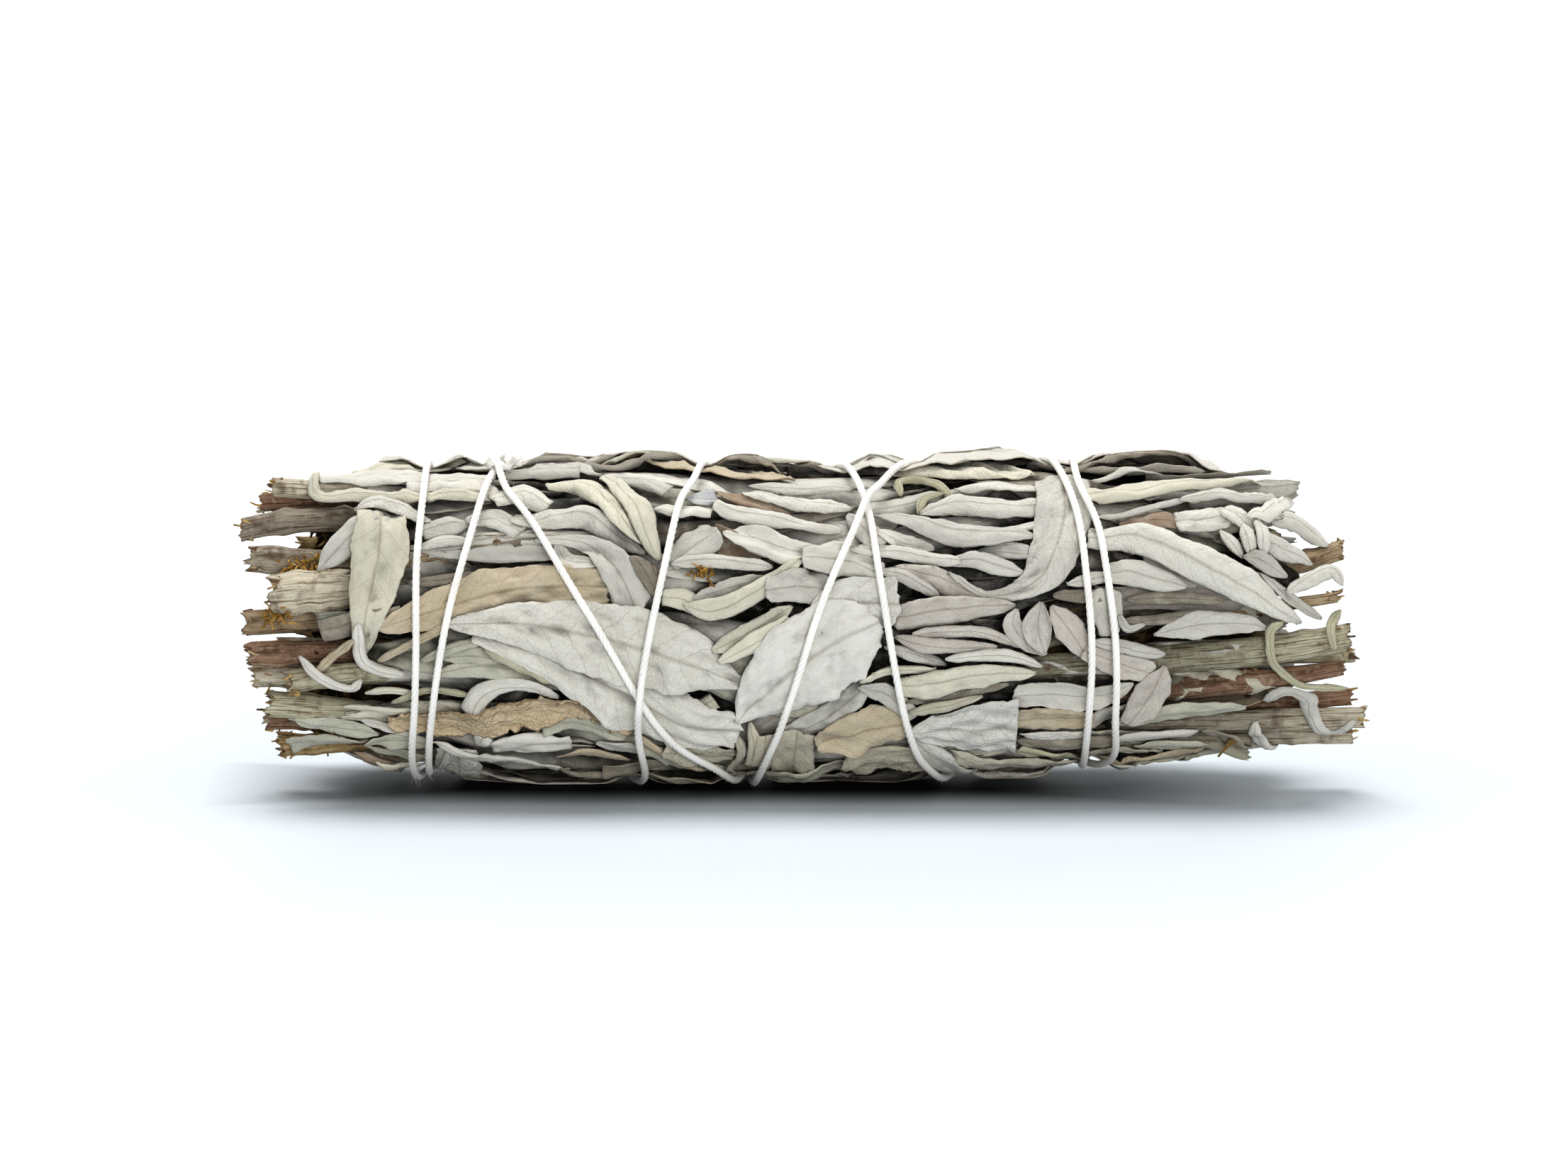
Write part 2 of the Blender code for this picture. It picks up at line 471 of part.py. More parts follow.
# Height of a leaf's top over its middle line at its two margins, and its thickness, in millimetres.
FORMS = {
    "flat": ((-0.10, 0.0, -0.20), 0.85),
    "roll": ((-0.55, 0.30, -0.60), 0.95),
    "cup": ((0.50, -0.15, 0.45), 0.80),
    "ribbon": ((-0.30, 0.15, -0.30), 0.75),
}
CELL = 1.0
FIRST_X = -70.0
AROUND = 124
LEAF_BED = -1.5
CORE_FROM, CORE_TO = -51.5, 50.0
# The patch of the underside that lies flat on the surface: from and to along x, and along y.
PRESSED = ((-40.0, 13.0), (-4.4, 4.6))

leaf_tops = np.full((141, AROUND), LEAF_BED)


def cell_of(x, angle):
    """Row and column of the map of leaf tops."""
    row = np.clip(np.rint((np.asarray(x) - FIRST_X) / CELL).astype(int), 0, leaf_tops.shape[0] - 1)
    return row, np.rint(np.asarray(angle) / (2 * math.pi) * AROUND).astype(int) % AROUND


def squeeze_map():
    """The height leaves are pressed down to by the string, everywhere on the bundle."""
    x = FIRST_X + CELL * np.arange(leaf_tops.shape[0])
    angle = 2 * math.pi * np.arange(AROUND) / AROUND
    pressed = np.full(leaf_tops.shape, 9.0)
    for place, height in zip(places[::2], heights[::2]):
        apart = (angle - place[1] + math.pi) % (2 * math.pi) - math.pi
        gap2 = (x[:, None] - place[0]) ** 2 + (19.3 * apart[None]) ** 2
        pressed = np.minimum(pressed, min(height, STRING_HEIGHT) - 0.75 + 0.16 * gap2)
    return pressed


pressed_to = squeeze_map()


def leaf_slab(form, widths, line, lift=0.45, limit=0.6, columns=3, press=0.1):
    """One leaf as a closed blade: laid over the leaves already there, then added to the map of leaf tops.

    The line is in (x, angle). Across it there are two margins and, for three columns, the middle."""
    shape, thick = FORMS[form]
    radius = outline_radius(line[:, 0])
    flat = np.stack([line[:, 0], line[:, 1] * radius], -1)
    ahead = np.gradient(flat, axis=0)
    ahead /= np.linalg.norm(ahead, axis=1)[:, None]
    across = np.stack([-ahead[:, 1], ahead[:, 0]], -1)
    v = np.linspace(-0.5, 0.5, columns)
    place = flat[:, None] + across[:, None] * (v[None, :, None] * widths[:, None, None])
    angle = place[..., 1] / radius[:, None]
    sampled = np.stack([
        leaf_tops[cell_of(flat[:, 0] + across[:, 0] * s * widths, (flat[:, 1] + across[:, 1] * s * widths) / radius)]
        for s in (-0.5, -0.25, 0.0, 0.25, 0.5)])
    base = 0.5 * sampled.mean(0) + 0.5 * sampled.max(0)
    base = np.convolve(np.pad(base, 1, mode="edge"), (0.25, 0.5, 0.25), "valid")
    own = leaf_tops[cell_of(place[..., 0], angle)]
    bulge = np.clip(widths / 3.0, 0.4, 1.6)[:, None] * np.interp(v, (-0.5, 0.0, 0.5), shape)
    top = 0.7 * base[:, None] + 0.3 * own + lift + bulge
    top = np.minimum(np.minimum(top, pressed_to[cell_of(place[..., 0], angle)] + press), limit)
    upper = on_bundle(place[..., 0], angle, top)
    # Over the core a leaf is rooted in it all along; past the core's ends it is a thin blade.
    root = np.where((place[..., 0] > CORE_FROM + 1) & (place[..., 0] < CORE_TO - 1), LEAF_BED - 1.5, 9.0)
    lower = on_bundle(place[..., 0], angle, np.minimum(top - thick, root))
    # Fill the map between the points of the leaf.
    stations = np.linspace(0, len(line) - 1, 8 * len(line))
    fine_v = np.linspace(0, columns - 1, 9)

    def between(values):
        rows = np.stack([np.interp(stations, np.arange(len(line)), column) for column in values.T], -1)
        return np.stack([np.interp(fine_v, np.arange(columns), row) for row in rows])

    np.maximum.at(leaf_tops, cell_of(between(place[..., 0]), between(angle)), between(top))
    count, m = len(line), columns
    points = np.concatenate([upper.reshape(-1, 3), lower.reshape(-1, 3)])
    under = m * count
    faces = []
    for i in range(count - 1):
        for j in range(m - 1):
            a, b, c, d = m * i + j, m * i + j + 1, m * i + m + j + 1, m * i + m + j
            faces += [(a, c, b), (a, d, c), (a + under, b + under, c + under), (a + under, c + under, d + under)]
        a, b = m * i, m * i + m
        faces += [(a, a + under, b + under), (a, b + under, b)]
        a, b = m * i + m - 1, m * i + 2 * m - 1
        faces += [(a, b, b + under), (a, b + under, a + under)]
    for j in range(m - 1):
        a, b = j, j + 1
        faces += [(a, b, b + under), (a, b + under, a + under)]
        a, b = m * (count - 1) + j, m * (count - 1) + j + 1
        faces += [(a, a + under, b + under), (a, b + under, b)]
    return points, faces


def seen_leaf(form, widths, shown):
    """A leaf given by what shows from the front."""
    shown = np.asarray(shown, float)
    reach = np.hypot(*np.diff(shown, axis=0).T).sum()
    count = int(np.clip(round(reach / 8) + 1, 3, 5))
    line = through(shown, count)
    widths = np.interp(np.linspace(0, len(widths) - 1, count), np.arange(len(widths)), widths)
    return leaf_slab(form, widths, np.stack([line[:, 0], angle_seen(line[:, 0], line[:, 1])], -1))


def scattered_leaf(x, angle, lift=0.45):
    """A leaf with a seeded random size and slant, pointed at one end."""
    length, width = random.uniform(20, 30), random.uniform(6.0, 9.5)
    slant, bend = random.gauss(0, 0.25), random.uniform(-1.5, 1.5)
    form = random.choices(("flat", "roll"), (3, 2))[0]
    if form == "roll":
        width *= 0.6
    t = np.array([-0.5, -0.05, 0.5])
    flow = random.choice((-1, 1))
    radius = 19.0
    line_x = x + flow * t * length * math.cos(slant)
    line_s = angle * radius + t * length * math.sin(slant) + bend * (0.25 - t * t) * 4
    widths = width * np.array((0.6, 1.0, 0.2))
    line_x = np.clip(line_x, -57.5 + random.uniform(-2, 2), 57.0 + random.uniform(-2, 2))
    line = np.stack([line_x, line_s / radius], -1)
    return leaf_slab(form, widths, line, lift, columns=3 if form == "roll" else 2)


def end_blades():
    """Broken leaves that stick out between the stems at both ends of the bundle."""
    blades = []
    for end, way in ((CORE_FROM, -1), (CORE_TO, 1)):
        for k in range(9):
            turn = 2 * math.pi * (k + random.uniform(-0.3, 0.3)) / 9
            reach = random.uniform(6.0, 14.0)
            middle = np.array([0.0, -reach * math.cos(turn), outline_centre(end) + reach * math.sin(turn)])
            lean = turn + random.uniform(-0.7, 0.7)
            side = np.array([0.0, math.sin(lean), math.cos(lean)]) * random.uniform(1.6, 3.0)
            thick = np.array([0.0, -math.cos(lean), math.sin(lean)]) * 0.4
            root, tip = end - 2.5 * way, end + way * random.uniform(2.5, 6.5)
            points = []
            for x, wide in ((root, 1.0), (tip, random.uniform(0.3, 0.7))):
                start = middle + (x, 0, 0)
                points += [start - wide * side - thick, start + wide * side - thick,
                           start + wide * side + thick, start - wide * side + thick]
            faces = [(0, 1, 2, 3), (7, 6, 5, 4), (0, 4, 5, 1), (1, 5, 6, 2), (2, 6, 7, 3), (3, 7, 4, 0)]
            if way > 0:
                faces = [face[::-1] for face in faces]
            blades.append((np.array(points), faces))
    return blades


def core():
    """The packed middle of the bundle, smaller than the leaves that cover it and stand out of it."""
    stations = np.linspace(CORE_FROM, CORE_TO, 8)
    sides = 12
    points, faces = [], []
    for x in stations:
        for k in range(sides):
            angle = 2 * math.pi * k / sides
            points.append(on_bundle(np.array(x), np.array(angle), np.array(LEAF_BED - random.uniform(0.0, 0.3))))
    for ring in range(len(stations) - 1):
        for k in range(sides):
            a, b = ring * sides + k, ring * sides + (k + 1) % sides
            faces.append((a, a + sides, b + sides, b))
    first, last = len(points), len(points) + 1
    points.append(np.array([stations[0] + 1.5, 0, outline_centre(stations[0])]))
    points.append(np.array([stations[-1] - 1.5, 0, outline_centre(stations[-1])]))
    for k in range(sides):
        faces.append((first, k, (k + 1) % sides))
        faces.append((last, first - sides + (k + 1) % sides, first - sides + k))
    return points, faces


def largest_shell(piece):
    """Keeps only the outer surface of the largest body, so hollows are filled and loose scraps go."""
    mesh = piece.data
    mesh.calc_loop_triangles()
    triangles = [tuple(t.vertices) for t in mesh.loop_triangles]
    owner = list(range(len(triangles)))

    def root(i):
        while owner[i] != i:
            owner[i] = owner[owner[i]]
            i = owner[i]
        return i

    by_edge = {}
    for number, (a, b, c) in enumerate(triangles):
        for edge in ((a, b), (b, c), (c, a)):
            by_edge.setdefault(tuple(sorted(edge)), []).append(number)
    for sharing in by_edge.values():
        # Four triangles on one edge are two bodies that only touch there.
        if len(sharing) == 2:
            owner[root(sharing[0])] = root(sharing[1])
    volume = {}
    for number, triangle in enumerate(triangles):
        a, b, c = (mesh.vertices[i].co for i in triangle)
        volume[root(number)] = volume.get(root(number), 0.0) + a.dot(b.cross(c))
    best = max(volume, key=volume.get)
    kept_triangles = [t for n, t in enumerate(triangles) if root(n) == best]
    used = sorted({i for t in kept_triangles for i in t})
    index = {old: new for new, old in enumerate(used)}
    clean = bpy.data.meshes.new(piece.name)
    clean.from_pydata([tuple(mesh.vertices[i].co) for i in used], [], [[index[i] for i in t] for t in kept_triangles])
    clean.update()
    piece.data = clean


def lighten(piece, share):
    """Merges the smallest facets that the unions leave, down to a share of them."""
    modifier = piece.modifiers.new("lighten", "DECIMATE")
    modifier.ratio = share
    modifier.use_collapse_triangulate = True
    bpy.context.view_layer.objects.active = piece
    bpy.ops.object.modifier_apply(modifier=modifier.name)


def part_touching(piece, apart=0.02 * MM):
    """Draws back, along its own normal, every corner that lies exactly on another one, so nothing only touches."""
    groups = {}
    for vertex in piece.data.vertices:
        groups.setdefault(tuple(round(c / (0.5e-3 * MM)) for c in vertex.co), []).append(vertex)
    for group in groups.values():
        if len(group) > 1:
            for vertex in group:
                vertex.co -= vertex.normal * apart


def block(name, x_span, y_span, z_span):
    corners = [(x, y, z) for x in x_span for y in y_span for z in z_span]
    faces = [(0, 1, 3, 2), (4, 6, 7, 5), (0, 4, 5, 1), (2, 3, 7, 6), (0, 2, 6, 4), (1, 5, 7, 3)]
    return new_piece(name, corners, faces)


def floor_block(above=0.0):
    """What lies under the surface the bundle rests on."""
    return block("floor_block", (-90, 90), (-40, 40), (-AXIS_UP - FLOOR_CUT, -AXIS_UP + above))


def pressed_flat():
    """The leaves under the bundle that its weight has pressed into one flat patch, with room for the cord."""
    patch = block("pressed_flat", *PRESSED, (-AXIS_UP, -16.4))
    combine(patch, "DIFFERENCE", string_slots())
    return patch


def grown(points, by):
    """A blade's points moved outwards from its middle surface, for the room kept round it."""
    points = np.asarray(points, float)
    half = len(points) // 2
    middle = 0.5 * (points[:half] + points[half:])
    rows = middle.reshape(-1, 3, 3)
    out = points.copy()
    for k, part in ((0, slice(0, half)), (1, slice(half, None))):
        radial = points[part] - middle
        radial /= np.linalg.norm(radial, axis=1)[:, None]
        block = (points[part] + by * radial).reshape(-1, 3, 3)
        side = rows[:, 2] - rows[:, 0]
        side /= np.linalg.norm(side, axis=1)[:, None]
        block[:, 0] -= by * side
        block[:, 2] += by * side
        block[0] += by * (rows[0] - rows[1]) / np.linalg.norm(rows[0, 1] - rows[1, 1])
        block[-1] += by * (rows[-1] - rows[-2]) / np.linalg.norm(rows[-1, 1] - rows[-2, 1])
        out[part] = block.reshape(-1, 3)
    return out


def build():
    stems = placed_stems()
    blades = []
    # The leaves seen from the front, then the rest of the outside.
    for row in FRONT_LEAVES:
        blades.append(seen_leaf(*row))
    for k in range(62):
        x = -48 + 96 * ((k * 0.618034 + 0.3) % 1.0)
        angle = math.radians(74 + 214 * ((k * 0.754877 + 0.1) % 1.0))
        blades.append(scattered_leaf(x, angle))
    # Broad leaves of the underside, which the bundle rests on.
    for k in range(9):
        angle = math.radians(270 + random.uniform(-16, 16))
        blades.append(scattered_leaf(-38 + 6.2 * k, angle, lift=1.3))
    blades += end_blades()
    widths, shown = DRY_LEAF
    line = through(shown, 11)
    widths = np.interp(np.linspace(0, 5, 11), np.arange(6), widths)
    dry_line = np.stack([line[:, 0], angle_seen(line[:, 0], line[:, 1])], -1)
    dry_points, dry_faces = leaf_slab("roll", widths, dry_line, lift=0.5, limit=-0.1, press=-0.4)

    bundle = new_piece("leaf_bundle", *core())
    combine(bundle, "UNION", [new_piece("leaf", *blade) for blade in blades])
    cutters = [new_piece("hollow", *tube(line, radii + CLEAR, STEM_SIDES)) for _, line, radii in stems]
    cutters += string_slots()
    cutters.append(floor_block(above=0.05))
    cutters.append(new_piece("room", grown(dry_points, CLEAR), dry_faces))
    combine(bundle, "DIFFERENCE", cutters)
    largest_shell(bundle)
    lighten(bundle, 0.66)
    combine(bundle, "UNION", [pressed_flat()])
    largest_shell(bundle)
    part_touching(bundle)
    finish(bundle, (0.36, 0.37, 0.30), 0.92)

    dry_leaf = new_piece("dry_leaf", dry_points, dry_faces)
    finish(dry_leaf, (0.26, 0.17, 0.10), 0.85)

    for name, line, radii in stems:
        stem = new_piece(name, *tube(line, radii, STEM_SIDES))
        finish(stem, (0.42, 0.36, 0.22), 0.8)

    cord = string_piece()
    combine(cord, "DIFFERENCE", [floor_block()])
    finish(cord, (0.72, 0.66, 0.54), 0.9)


build()
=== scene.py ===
"""The looks of a sage smudge stick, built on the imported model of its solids.

Lengths are in millimetres in the bundle's own frame until a mesh is made. A place on the bundle is given by
x, by an angle round it (0 at the front, positive upwards) and by a height over the outline that its string
holds.
"""

import math

import bpy
import numpy as np
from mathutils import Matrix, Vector


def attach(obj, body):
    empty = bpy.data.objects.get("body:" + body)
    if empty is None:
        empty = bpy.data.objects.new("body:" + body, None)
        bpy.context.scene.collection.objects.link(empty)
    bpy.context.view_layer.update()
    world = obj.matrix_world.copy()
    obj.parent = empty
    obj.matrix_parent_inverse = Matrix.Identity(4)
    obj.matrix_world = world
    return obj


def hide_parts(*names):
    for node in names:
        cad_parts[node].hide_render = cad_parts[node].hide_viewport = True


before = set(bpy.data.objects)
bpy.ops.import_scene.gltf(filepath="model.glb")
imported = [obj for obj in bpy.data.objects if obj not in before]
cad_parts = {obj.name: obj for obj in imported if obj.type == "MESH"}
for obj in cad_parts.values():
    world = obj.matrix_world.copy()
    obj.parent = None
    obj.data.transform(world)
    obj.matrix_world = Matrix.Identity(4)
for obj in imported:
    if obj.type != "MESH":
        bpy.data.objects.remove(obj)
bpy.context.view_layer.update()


# Stems
# Cut woody stems of the sage plant, square-edged when young and round when old, dried hard. They lie side
# by side in the middle of the bundle, and their cut or broken ends stick out of both ends of it.

MM = 0.001
AXIS_UP = 19.15  # how far the bundle's axis is above the floor
PRESSED = 0.8  # below this height over the floor everything is pressed up
EPS = 1e-9


def make_piece(name, points, faces, material, uvs=None, colours=None):
    """An object at the origin from points in millimetres, with its UV in millimetres and point colours."""
    points = (np.asarray(points, float) + (0.0, 0.0, AXIS_UP)) * MM
    faces = np.asarray(faces, np.int32)
    mesh = bpy.data.meshes.new(name)
    mesh.vertices.add(len(points))
    mesh.vertices.foreach_set("co", points.astype(np.float32).ravel())
    mesh.loops.add(faces.size)
    mesh.loops.foreach_set("vertex_index", faces.ravel())
    mesh.polygons.add(len(faces))
    mesh.polygons.foreach_set("loop_start", np.arange(0, faces.size, faces.shape[1], dtype=np.int32))
    mesh.polygons.foreach_set("use_smooth", np.ones(len(faces), bool))
    if uvs is not None:
        layer = mesh.uv_layers.new(name="UVMap")
        layer.data.foreach_set("uv", np.asarray(uvs, np.float32)[faces.ravel()].ravel())
    for key, values in (colours or {}).items():
        attribute = mesh.attributes.new(key, "FLOAT_COLOR", "POINT")
        rgba = np.ones((len(points), 4), np.float32)
        rgba[:, :values.shape[1]] = values
        attribute.data.foreach_set("color", rgba.ravel())
    mesh.update()
    mesh.validate()
    mesh.materials.append(material)
    piece = bpy.data.objects.new(name, mesh)
    bpy.context.scene.collection.objects.link(piece)
    return piece


def on_floor(points):
    """Presses what would hang through the floor up onto it: heights near it shrink as an exponential."""
    points = np.array(points, float)
    up = points[:, 2] + AXIS_UP
    points[:, 2] = np.where(up < PRESSED, PRESSED * np.exp(np.minimum(up / PRESSED - 1, 0)), up) - AXIS_UP
    return points


def grid_faces(rows, columns, closed=False):
    """Quads of a grid of points stored row by row. A closed grid joins its last column to its first."""
    spans = columns if closed else columns - 1
    row, column = np.meshgrid(np.arange(rows - 1), np.arange(spans), indexing="ij")
    after = (column + 1) % columns
    a, b = row * columns + column, row * columns + after
    return np.stack([a, b, b + columns, a + columns], -1).reshape(-1, 4)


def triangles_of(quads):
    """Each quad cut into two triangles: all first halves, then all second ones."""
    return np.concatenate([quads[:, [0, 1, 2]], quads[:, [0, 2, 3]]])


def circle(count):
    """Angles spread evenly over a full turn."""
    return np.linspace(0, 2 * math.pi, count + 1)[:-1]


def unit(vectors, least=0.0):
    """Vectors of length one. A least length is added where some may be next to nothing."""
    return vectors / (np.linalg.norm(vectors, axis=-1, keepdims=True) + least)


def smoothed(values, window):
    """The mean of the values in a window round each one."""
    return np.convolve(np.pad(values, window // 2, mode="edge"), np.ones(window) / window, "valid")


def wobble(t, rng, waves=4, longest=1.0):
    """A smooth uneven line: a sum of sines of falling length and height, about -1 to 1, phases drawn."""
    total = np.zeros_like(np.asarray(t, float))
    for k in range(waves):
        total += np.sin(t * 2 * math.pi * (k + 1) ** 1.3 / longest + rng.uniform(0, 6.28)) / (k + 1)
    return total / 1.6


def srgb(red, green, blue):
    """A colour picked on a screen (0 to 255), as the linear values that shaders take."""
    c = np.array([red, green, blue], float) / 255.0
    return np.where(c <= 0.04045, c / 12.92, ((c + 0.055) / 1.055) ** 2.4)


def new_material(name, roughness, specular=0.3, sheen=0.0):
    """A material with its Principled shader, and the plain values that are the same all over it."""
    material = bpy.data.materials.new(name)
    material.use_nodes = True
    shader = material.node_tree.nodes["Principled BSDF"]
    shader.inputs["Roughness"].default_value = roughness
    shader.inputs["Specular IOR Level"].default_value = specular
    shader.inputs["Sheen Weight"].default_value = sheen
    shader.inputs["Sheen Roughness"].default_value = 0.5
    return material, material.node_tree, shader


def add(tree, kind, settings=None, **inputs):
    """Adds a shader node. Its inputs are named, or i0, i1 and so on, and are values or sockets."""
    made = tree.nodes.new("ShaderNode" + kind)
    for key, value in (settings or {}).items():
        setattr(made, key, value)
    for key, value in inputs.items():
        socket = made.inputs[int(key[1:])] if key[0] == "i" and key[1:].isdigit() else made.inputs[key]
        if isinstance(value, bpy.types.NodeSocket):
            tree.links.new(value, socket)
        else:
            socket.default_value = value
    return made


def combined(tree, how, a, b):
    """Two values added, multiplied or the like."""
    return add(tree, "Math", {"operation": how}, i0=a, i1=b).outputs[0]


def tinted(tree, factor, a, b, blend="MIX"):
    """Mixes colour b over colour a by a factor. A colour is a socket or three numbers."""
    mix = add(tree, "Mix", {"data_type": "RGBA", "blend_type": blend})
    for index, value in ((0, factor), (6, a), (7, b)):
        if isinstance(value, bpy.types.NodeSocket):
            tree.links.new(value, mix.inputs[index])
        elif index == 0:
            mix.inputs[index].default_value = value
        else:
            mix.inputs[index].default_value = (*value, 1.0)
    return mix.outputs[2]


def stepped(tree, value, low, high, to_low=0.0, to_high=1.0):
    """Maps a value from low..high to to_low..to_high, held at both ends."""
    return add(tree, "MapRange", {"clamp": True}, i0=value, i1=low, i2=high, i3=to_low, i4=to_high).outputs[0]


def noise(tree, vector, scale, detail=3.0, roughness=0.55):
    """Soft noise, 0 to 1, of a size given by its scale."""
    return add(tree, "TexNoise", Vector=vector, Scale=scale, Detail=detail, Roughness=roughness).outputs[0]


def finish_material(tree, shader, colour, relief, strength, depth):
    """Joins a colour and a relief, so many metres deep, to the shader of a material."""
    tree.links.new(colour, shader.inputs["Base Color"])
    bump = add(tree, "Bump", Strength=strength, Distance=depth, Height=relief)
    tree.links.new(bump.outputs[0], shader.inputs["Normal"])


def shared_effect(name, inputs, outputs):
    """An empty node group with named inputs and outputs: the group, what comes in and what goes out."""
    group = bpy.data.node_groups.new(name, "ShaderNodeTree")
    for label, kind in inputs:
        group.interface.new_socket(label, in_out="INPUT", socket_type="NodeSocket" + kind)
    for label in outputs:
        group.interface.new_socket(label, in_out="OUTPUT", socket_type="NodeSocketFloat")
    return group, group.nodes.new("NodeGroupInput").outputs, group.nodes.new("NodeGroupOutput").inputs


def fibre_streaks():
    """Streaks along the U of a UV map in millimetres, as noise squeezed along it, and soft blotches."""
    inputs = (("Vector", "Vector"), ("Along", "Float"), ("Across", "Float"))
    group, given, made = shared_effect("fibre_streaks", inputs, ("Streak", "Blotch"))
    squeeze = add(group, "CombineXYZ", X=given["Along"], Y=given["Across"], Z=1.0).outputs[0]
    along = add(group, "VectorMath", {"operation": "MULTIPLY"}, i0=given["Vector"], i1=squeeze).outputs[0]
    group.links.new(noise(group, along, 1.0, 5.0, 0.65), made["Streak"])
    group.links.new(noise(group, given["Vector"], 0.45, 4.0, 0.6), made["Blotch"])
    return group


streaks = fibre_streaks()


def point_state(tree):
    """What each point of a piece knows of itself: its tone, and three numbers kept as a colour."""
    # The tone holds the painted shade of leaves, stems and crumbs, and the painted light on the low leaves.
    tone = add(tree, "Attribute", {"attribute_name": "tone"}).outputs["Color"]
    stored = add(tree, "Attribute", {"attribute_name": "state"})
    parts = add(tree, "SeparateColor", i0=stored.outputs["Color"]).outputs
    return tone, parts[0], parts[1], parts[2]


def stem_material():
    """Bark in long fibres with dark scars, and pale wood with a brown ring where the stem is cut."""
    material, tree, shader = new_material("dried_stem", 0.75)
    uv = add(tree, "UVMap").outputs[0]
    tone, cut, ring, _ = point_state(tree)
    fibre, blotch = add(tree, "Group", {"node_tree": streaks}, Vector=uv, Along=0.17, Across=4.2).outputs
    cracks = tinted(tree, 1.0, tone, (0.34, 0.27, 0.21), "MULTIPLY")
    bark = tinted(tree, stepped(tree, fibre, 0.36, 0.52), cracks, tone)
    bark = tinted(tree, stepped(tree, fibre, 0.58, 0.70, 0.0, 0.5), bark, srgb(222, 214, 196))
    bark = tinted(tree, stepped(tree, blotch, 0.52, 0.68, 0.0, 0.7), bark, srgb(100, 80, 64))
    peeled = noise(tree, uv, 1.1, 4.0, 0.6)
    bark = tinted(tree, stepped(tree, peeled, 0.54, 0.66, 0.0, 0.3), bark, srgb(214, 203, 180))
    wood = tinted(tree, stepped(tree, ring, 0.12, 0.5), srgb(192, 176, 142), srgb(212, 196, 162))
    wood = tinted(tree, stepped(tree, ring, 0.80, 0.97), wood, srgb(122, 98, 74))
    stained = noise(tree, uv, 3.0, 4.0)
    wood = tinted(tree, stepped(tree, stained, 0.4, 0.65, 0.0, 0.6), wood, srgb(134, 102, 66))
    relief = combined(tree, "ADD", fibre, combined(tree, "MULTIPLY", peeled, 0.8))
    finish_material(tree, shader, tinted(tree, cut, bark, wood), relief, 1.0, 0.0003)
    return material


STEM_TONES = {
    "cream": srgb(208, 201, 183), "tan": srgb(186, 168, 140), "grey": srgb(164, 156, 142),
    "brown": srgb(158, 130, 110), "green": srgb(200, 196, 172), "ochre": srgb(196, 172, 128),
}
# Stems whose ends show: tone, knots as (x, how far they stand out, half length), and how frayed the end is.
STEM_LOOKS = {
    "stem_left_01": ("cream", (), 0.2),
    "stem_left_02": ("brown", ((-54.0, 0.2, 1.0),), 0.3),
    "stem_left_03": ("grey", ((-60.2, 0.4, 0.9), (-53.2, 0.35, 0.8)), 0.25),
    "stem_left_04": ("grey", ((-61.5, 0.4, 1.6),), 0.9),
    "stem_left_05": ("cream", ((-58.6, 0.5, 1.0), (-55.6, 0.45, 0.9), (-53.4, 0.3, 0.7)), 0.8),
    "stem_left_06": ("tan", ((-58.0, 0.3, 0.9),), 0.6),
    "stem_left_07": ("brown", ((-60.5, 0.3, 1.0),), 0.5),
    "stem_left_08": ("cream", (), 0.2),
    "stem_left_09": ("cream", ((-59.4, 0.3, 0.8),), 0.51),
    "stem_left_10": ("green", ((-55.0, 0.2, 0.8),), 0.8),
    "stem_left_11": ("green", ((-57.5, 0.25, 0.9),), 0.7),
    "stem_left_12": ("brown", ((-58.0, 0.3, 0.9),), 0.4),
    "stem_left_13": ("ochre", ((-57.0, 0.2, 0.8),), 0.9),
    "stem_front": ("tan", ((-35.4, 0.25, 0.7), (-41.0, 0.12, 0.6)), 0.2),
    "stem_right_01": ("green", ((46.2, 0.22, 0.5), (57.5, 0.2, 0.8), (36.5, 0.15, 0.8)), 0.4),
    "stem_right_02": ("brown", ((51.0, 0.35, 0.7), (44.6, 0.2, 0.7)), 0.3),
    "stem_right_03": ("green", (), 0.3),
    "stem_right_04": ("cream", ((54.6, 0.2, 0.7), (61.2, 0.2, 0.6)), 0.35),
    "stem_right_05": ("brown", ((60.2, 0.2, 0.6),), 0.3),
    "stem_right_06": ("cream", ((50.6, 0.22, 0.5), (57.0, 0.22, 0.5)), 0.3),
    "stem_right_07": ("tan", (), 0.3),
    "stem_right_08": ("tan", ((58.0, 0.25, 0.7),), 0.4),
}
# The stems in the middle of the bundle, of which little shows.
HIDDEN_TONES = ("cream", "brown", "tan", "grey", "green", "brown", "ochre")
HIDDEN_FRAYED = 0.5
# How many rings along a stem, points round it and rings over its end.
SEEN_GRID, HIDDEN_GRID = (66, 26, 6), (24, 18, 4)


def stem_line(node):
    """The axis and the radius of a stem's solid as curves in x fitted to its points, and its two ends.

    A solid of few points is straight, a longer one bends once or twice."""
    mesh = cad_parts[node].data
    co = np.empty(len(mesh.vertices) * 3)
    mesh.vertices.foreach_get("co", co)
    co = co.reshape(-1, 3) / MM - (0.0, 0.0, AXIS_UP)
    bends = 1 + (len(co) > 100) + (len(co) > 150)
    side = np.polyfit(co[:, 0], co[:, 1], bends)
    up = np.polyfit(co[:, 0], co[:, 2], bends)
    off = np.hypot(co[:, 1] - np.polyval(side, co[:, 0]), co[:, 2] - np.polyval(up, co[:, 0]))
    return side, up, np.polyfit(co[:, 0], off, bends), co[:, 0].min(), co[:, 0].max()


